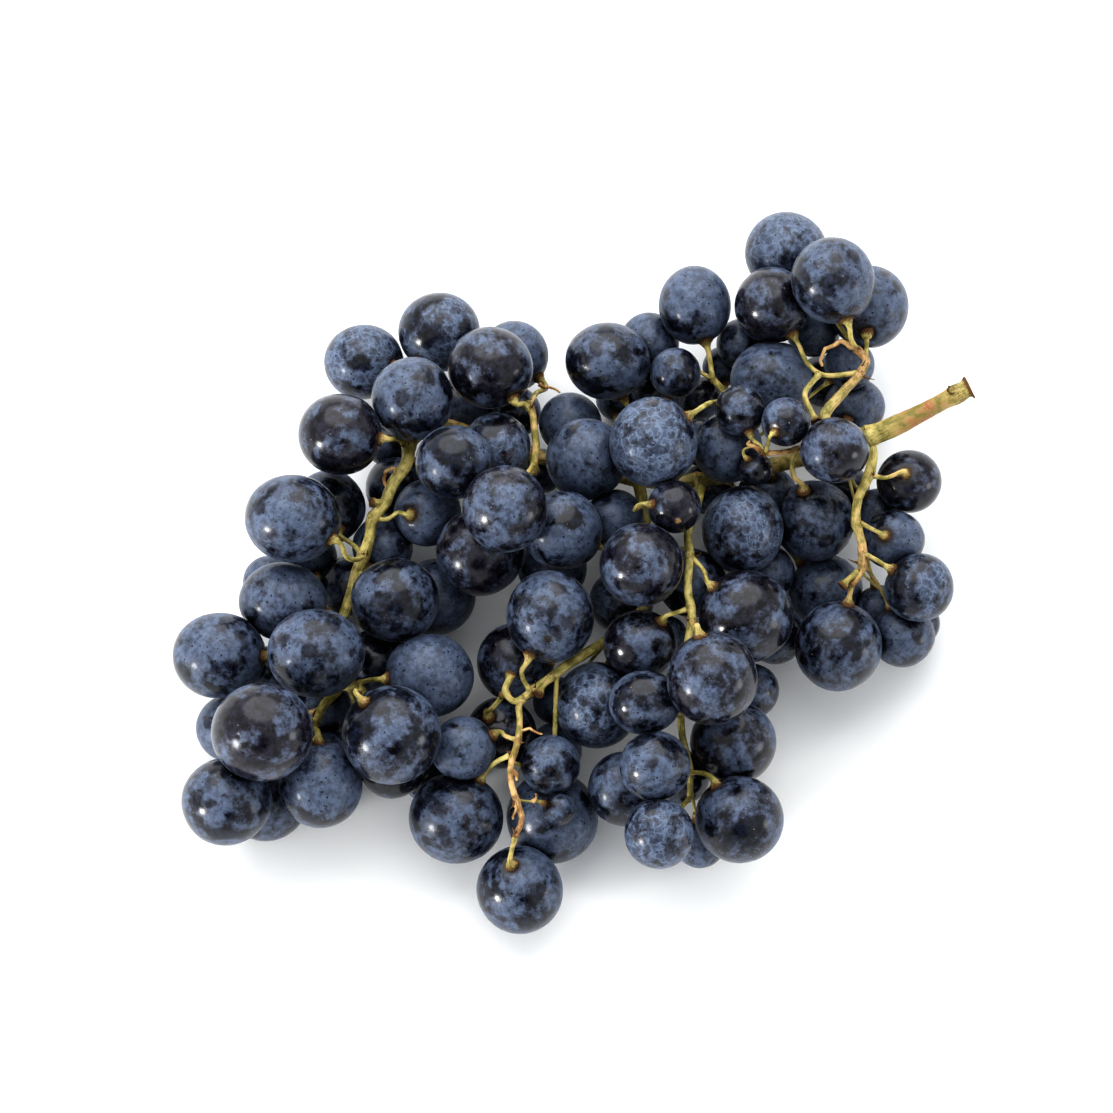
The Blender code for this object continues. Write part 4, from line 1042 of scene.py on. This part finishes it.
# %% Branches, which swell at their forks
FORK_SWELL = 0.22
FORK_REACH = 1.5
FORK_CORK = 0.4
WARTS_PLAIN, WARTS_FORK, WARTS_DRY, WARTS_CUT = 0.03, 0.12, 0.1, 0.5
CUT_BACK = 0.6
CUT_CORK = 0.9
CUT_REACH = (1.0, 0.8)
KNUCKLE = (3.4, 2.4)
KNUCKLE_SWELL = 0.55
KNUCKLE_CORK = 0.35
RED_WAY = (13.0, 7.0)
RED_SLIM = 0.15
SLIM_AND_DRY = {
    "peduncle": (0.88, 0.15, 0.0),
    "axis": (0.8, 0.35, 0.5),
    "wing_axis": (0.82, 0.05, 0.2),
    "top_shoulder": (0.85, 0.0, 0.75),
    "side_shoulder": (0.76, 0.1, 0.65),
    "small_fruit_lateral": (0.68, 0.4, 0.9),
    "upper_lateral": (0.75, 0.1, 0.2),
    "middle_lateral": (0.76, 0.25, 0.1),
    "bottom_lateral": (0.85, 0.0, 0.15),
    "bottom_axis": (0.78, 0.25, 0.95),
    "knob_lateral": (0.8, 0.3, 0.5),
}
PLAIN_STEM = (0.85, 0.0, 0.1)


def bell(way, middle, width):
    """A smooth hump of height 1."""
    return np.exp(-(((way - middle) / width) ** 2))


def faded(way, start, reach):
    """An amount that fades with the way, exponentially, to about a third at the reach."""
    return start * np.exp(-way / reach)


random = np.random.default_rng(BERRY_SEED)
forks = np.array([points[0] for _, points in pedicels[:shown_count]])
forks = np.vstack([forks, [seen_route(route)[0] for _, _, route in BRANCHES.values()]])
branches = Stems()
for name, (start, end, route) in BRANCHES.items():
    points = seen_route(route)
    if name == "peduncle":
        points[0] += CUT_BACK * unit(points[1] - points[0])
    path, way = smooth_path(points, STEM_ROW)
    fork = bell(np.linalg.norm(path[:, None] - forks[None], axis=-1).min(axis=1), 0, FORK_REACH)
    slim, *dryness = SLIM_AND_DRY.get(name, PLAIN_STEM)
    radii = slim * np.interp(way, [0, way[-1]], [start, end]) * (1 + FORK_SWELL * fork)
    dry = np.interp(way, [0, way[-1]], dryness)
    wood = np.column_stack([FORK_CORK * fork, 0 * way, dry])
    warts = WARTS_PLAIN + WARTS_FORK * fork + WARTS_DRY * dry
    cap = ROUND_CAP
    if name == "peduncle":
        knuckle, red = bell(way, *KNUCKLE), bell(way, *RED_WAY)
        radii = radii + KNUCKLE_SWELL * knuckle - RED_SLIM * red
        wood[:, 0] = np.maximum(CUT_CORK * bell(way, 0, CUT_REACH[0]), KNUCKLE_CORK * knuckle)
        wood[:, 1] = red
        warts = warts + WARTS_CUT * bell(way, 0, CUT_REACH[1])
        path, radii, wood, warts, cap = path[::-1], radii[::-1], wood[::-1], warts[::-1], CUT_CAP
    branches.add(path, radii, random, wood, warts, cap=cap)
print("branches:", len(branches.surfaces))

# %% Pedicels with their receptacles
THIN = 0.6
FOOT_SWELL = 0.4
FOOT_REACH = 1.4
FOOT_CORK = (0.45, 1.0)
TIP_LENGTH = 2.6
TIP_SINK = 0.25
TIP_SHARE = 0.6
TIP_CORK = (1.1, 1.3)
TIP_WARTS = (0.04, 0.34, 0.5, 1.5)
FULL_STEM_RADIUS = 9
LEAST_STEM = 0.5
MOST_DRY = 0.45

for number, (berry, points) in enumerate(pedicels):
    shows = number < shown_count
    out = stem_end[berry]
    radius = bunch.half[berry].mean()
    reach = reach_of(bunch.half[berry], out) - DIMPLE_DEPTH * radius / USUAL_RADIUS
    tip = bunch.centre[berry] + out * (reach - TIP_SINK)
    route = np.vstack([points[:-1], tip + out * TIP_LENGTH, tip])
    path, way = smooth_path(route, STEM_ROW if shows else HIDDEN_ROW)
    left = way[-1] - way
    size = np.clip(radius / FULL_STEM_RADIUS, LEAST_STEM, 1.0)
    cup = bell(left, 0, TIP_SHARE * TIP_LENGTH)
    radii = (THIN * (1 + FOOT_SWELL * bell(way, 0, FOOT_REACH)) + (RECEPTACLE_RADIUS - THIN) * cup) * size
    dry = np.full(way.shape, random.uniform(0.0, MOST_DRY))
    brown = np.clip(faded(left, *TIP_CORK) + faded(way, *FOOT_CORK), 0, 1)
    least, most, middle, width = TIP_WARTS
    warts = least + most * bell(left, middle, width)
    branches.add(path, radii, random, np.column_stack([brown, 0 * way, dry]), warts,
                 sides=STEM_SIDES if shows else HIDDEN_SIDES)
print("stems so far:", len(branches.surfaces))

# %% Stubs, whose receptacles have lost their berries
TWIG_THICK = 0.7
STUB_SLIM = 0.85
STUB_FOOT_REACH = 1.2
STUB_TIP_REACH = 1.3
STUB_CORK = ((0.35, 1.2), (1.0, 0.9))
STUB_DRY = 0.3
STUB_WARTS = (0.05, 0.35)

for start, end, route in STUBS:
    if start < TWIG_THICK:
        continue
    path, way = smooth_path(seen_route(route), STEM_ROW)
    left = way[-1] - way
    tip = bell(left, 0, STUB_TIP_REACH)
    radii = STUB_SLIM * start * (1 + FOOT_SWELL * bell(way, 0, STUB_FOOT_REACH)) + (end - start) * tip
    brown = np.clip(faded(way, *STUB_CORK[0]) + faded(left, *STUB_CORK[1]), 0, 1)
    wood = np.column_stack([brown, 0 * way, STUB_DRY + 0 * way])
    branches.add(path, radii, random, wood, STUB_WARTS[0] + STUB_WARTS[1] * tip, cap=CUT_CAP)
rachis = branches.piece("rachis_stems")

# %% [markdown]
# ## Dried twigs and scales
# Thin side twigs that bore no fruit dry out to tan threads. At the forks small scales are left, which once
# covered the buds. They are tapering stems too, a few of them hooked, and they get a piece of their own.

# %% Dried twigs and scales
TWIG_TAPER = 0.55
TWIG_SWELL = (0.5, 0.8)
TWIG_WIGGLE = 0.25
TWIG_PACES = (1.9, 1.3, 1.6)
TWIG_CORK = (0.3, 1.5)
TWIG_WARTS = 0.45
TWIG_SIDES = 12
SCALES_EACH = 2
SCALE_LENGTH = (0.9, 2.2)
SCALE_RADIUS = 0.3
SCALE_TAPER = 1.15
SCALE_SIDES = 7
SCALE_ROWS = 7
SCALE_FOOT = 0.7
SCALE_BEND = 0.5
SCALE_RISE = 0.6
SCALE_CORK = 0.6
SCALE_WARTS = 0.2
FORK_NEAR = 3.0

twigs = Stems()
for start, _, route in STUBS:
    if start >= TWIG_THICK:
        continue
    path, way = smooth_path(seen_route(route), STEM_ROW)
    path = path + TWIG_WIGGLE * np.sin(way[:, None] * TWIG_PACES + random.uniform(0, 6, 3))
    swell = 1 + TWIG_SWELL[0] * bell(way, 0, TWIG_SWELL[1])
    radii = start * (1 - (1 - TWIG_TAPER) * way / way[-1]) * swell
    wood = np.column_stack([TWIG_CORK[0] * bell(way, 0, TWIG_CORK[1]), 0 * way, 1 + 0 * way])
    twigs.add(path, radii, random, wood, TWIG_WARTS, sides=TWIG_SIDES)
for name, (start, _, route) in BRANCHES.items():
    if name not in SLIM_AND_DRY or name == "peduncle":
        continue
    apart = np.linalg.norm(forks[:, None] - seen_route(route)[None], axis=-1).min(axis=1)
    for place in np.repeat(forks[apart < FORK_NEAR], SCALES_EACH, axis=0):
        out = unit(random.normal(size=3) + [0, 0, SCALE_RISE])
        bend = unit(random.normal(size=3))
        length = random.uniform(*SCALE_LENGTH)
        t = np.linspace(0, 1, SCALE_ROWS)[:, None]
        path = place + out * (start * SCALE_FOOT + length * t) + bend * SCALE_BEND * length * t**2
        radii = SCALE_RADIUS * (SCALE_TAPER - t[:, 0])
        wood = np.column_stack([SCALE_CORK + 0 * t, 0 * t, 1 + 0 * t])
        twigs.add(path, radii, random, wood, SCALE_WARTS, sides=SCALE_SIDES)
dried = twigs.piece("rachis_dried_twigs")

# %% [markdown]
# ## Green wood
# A living rachis is green wood under a thin yellow-green rind with fine lengthwise grain. It turns brown and
# corky at forks, at the receptacles and at the cut, reddish where the sun reached the peduncle, and tan where
# a twig has dried. It is matt, with a faint gloss on the smooth rind. The grain reads places along the
# fibres.

# %% The stems' material
RIND_GREEN = linear("#857c40")
RIND_PALE = linear("#cfc07c")
SUN_RED = linear("#a05f42")
DRY_TAN = linear("#d3b07c")
DRY_BROWN = linear("#8a633b")
CORK_BROWN = linear("#85603a")
CORK_DARK = linear("#2c1c14")
PATCH_SIZE = 3.0
FLECK_SIZE = 0.45
GRAIN_WIDTH = 0.25

wood, add = new_material("green_rachis_wood")
fibre = add("Attribute", out="Vector", attribute_name="fibre")
state = add("Attribute", out="Vector", attribute_name="wood")
corky, reddish, dry = (add("SeparateXYZ", (state,), out=k) for k in range(3))
patch = add("TexNoise", {"Vector": fibre, "Scale": 1 / PATCH_SIZE, "Detail": 3.0, "Roughness": 0.6})
fleck = add("TexNoise", {"Vector": fibre, "Scale": 1 / FLECK_SIZE, "Detail": 3.0, "Roughness": 0.7})
drawn_out = add("VectorMath", (fibre, (1.0, 1.0, 0.12)), operation="MULTIPLY")
grain = add("TexNoise", {"Vector": drawn_out, "Scale": 1 / GRAIN_WIDTH, "Detail": 2.0})
shade = add("Mix", {0: 0.3, 2: patch, 3: grain})
shade = add("MapRange", (shade, 0.4, 0.6), **SMOOTH)
rind = add("Mix", {0: shade, 6: RIND_GREEN, 7: RIND_PALE}, **COLOURS)
tan = add("Mix", {0: shade, 6: DRY_BROWN, 7: DRY_TAN}, **COLOURS)
redness = add("Math", (reddish, shade), operation="MULTIPLY")
rind = add("Mix", {0: redness, 6: rind, 7: SUN_RED}, **COLOURS)
ragged = add("Math", (patch, 1.6, -0.8), operation="MULTIPLY_ADD")
dry = add("Math", (dry, ragged), operation="ADD")
dry = add("MapRange", (dry, 0.25, 0.75), **SMOOTH)
rind = add("Mix", {0: dry, 6: rind, 7: tan}, **COLOURS)
cork = add("Mix", {0: fleck, 6: CORK_DARK, 7: CORK_BROWN}, **COLOURS)
ragged = add("Math", (fleck, 1.1, -0.55), operation="MULTIPLY_ADD")
corky = add("Math", (corky, ragged), operation="ADD")
corky = add("MapRange", (corky, 0.2, 0.6), **SMOOTH)
colour = add("Mix", {0: corky, 6: rind, 7: cork}, **COLOURS)
gloss = add("MapRange", (corky, 0.0, 1.0, 0.45, 0.8))
relief = add("Mix", {0: 0.5, 2: grain, 3: fleck})
bump = add("Bump", {"Strength": 0.6, "Distance": 0.00025, "Height": relief})
shader = add("BsdfPrincipled", {"Base Color": colour, "Roughness": gloss, "IOR": 1.45, "Normal": bump})
add("OutputMaterial", (shader,))
rachis.data.materials.append(wood)
dried.data.materials.append(wood)
print("wood nodes:", len(wood.node_tree.nodes))

# %% [markdown]
# ## Floor, light and camera
# The bunch lies on plain white paper in a white tent. A dark gap in the tent at the front shows as a dark
# core low on every berry. A large soft light stands above and behind, a low soft box on the left gives each
# berry its small highlight, and a weaker one stands on the right. The view's look adds contrast, which
# deepens the gaps.

# %% Floor
FLOOR_HALF = 3.0
TOOTH_SCALE = 900.0

floor_mesh = bpy.data.meshes.new("floor")
corners = np.array([(-1, -1, 0), (1, -1, 0), (1, 1, 0), (-1, 1, 0)]) * FLOOR_HALF
floor_mesh.from_pydata(corners, [], [(0, 1, 2, 3)])
floor = bpy.data.objects.new("floor", floor_mesh)
bpy.context.scene.collection.objects.link(floor)
paper, add = new_material("white_paper")
place = add("TexCoord", out="Object")
tooth = add("TexNoise", {"Vector": place, "Scale": TOOTH_SCALE})
bump = add("Bump", {"Strength": 0.03, "Distance": 0.0002, "Height": tooth})
shader = add("BsdfPrincipled", {"Base Color": linear("#fbfbfa"), "Roughness": 0.8, "Normal": bump})
add("OutputMaterial", (shader,))
floor_mesh.materials.append(paper)

# %% Lights
LIGHTS = {
    "overhead": ((-0.1, 1.05, 1.15), 2.2, 20.0),
    "left_box": ((-1.05, -0.62, 0.36), 0.26, 7.0),
    "right_box": ((1.2, -0.35, 0.3), 0.4, 1.5),
}
for name, (place, size, power) in LIGHTS.items():
    lamp = bpy.data.lights.new(name, "AREA")
    lamp.shape = "DISK"
    lamp.size = size
    lamp.energy = power
    item = bpy.data.objects.new(name, lamp)
    item.location = place
    item.rotation_euler = (-Vector(place)).to_track_quat("-Z", "Y").to_euler()
    bpy.context.scene.collection.objects.link(item)

# %% A white tent with a dark gap at the front
TENT_LEVEL = 0.85
GAP_LEVEL = 0.03
GAP_WAY = (0.0, -0.69, 0.72)
GAP_COSINES = (0.9, 0.975)
TENT_WHITE = (0.96, 0.98, 1.0, 1.0)

world = bpy.data.worlds.new("white_tent")
world.use_nodes = True
world.node_tree.nodes.clear()
add = partial(add_node, world.node_tree)
way = add("TexCoord", out="Generated")
nearness = add("VectorMath", (way, GAP_WAY), out="Value", operation="DOT_PRODUCT")
level = add("MapRange", (nearness, *GAP_COSINES, TENT_LEVEL, GAP_LEVEL), **SMOOTH)
tent = add("Background", {"Color": TENT_WHITE, "Strength": level})
add("OutputWorld", (tent,))
bpy.context.scene.world = world
bpy.context.scene.view_settings.view_transform = "Standard"
bpy.context.scene.view_settings.look = "High Contrast"

# %% Camera
PICTURE_PIXELS = 1113
PIXELS_PER_MM = 4.1
AIM_PIXEL = (573, 572)
SENSOR = 36.0
CLIP_END = 20

lens = bpy.data.cameras.new("camera")
lens.sensor_width = SENSOR
lens.lens = SENSOR * SIGHT_DISTANCE / (PICTURE_PIXELS / PIXELS_PER_MM)
lens.shift_x = (PICTURE_PIXELS / 2 - AIM_PIXEL[0]) / PICTURE_PIXELS
lens.shift_y = (AIM_PIXEL[1] - PICTURE_PIXELS / 2) / PICTURE_PIXELS
lens.clip_end = CLIP_END
camera = bpy.data.objects.new("camera", lens)
aim = np.array([-BOX_MIDDLE[0], -BOX_MIDDLE[1], SIGHT_HEIGHT])
camera.location = (aim + SIGHT_DISTANCE * np.array([0, -np.cos(SIGHT_SLANT), np.sin(SIGHT_SLANT)])) * MM
camera.rotation_euler = (np.pi / 2 - SIGHT_SLANT, 0, 0)
bpy.context.scene.collection.objects.link(camera)
bpy.context.scene.camera = camera
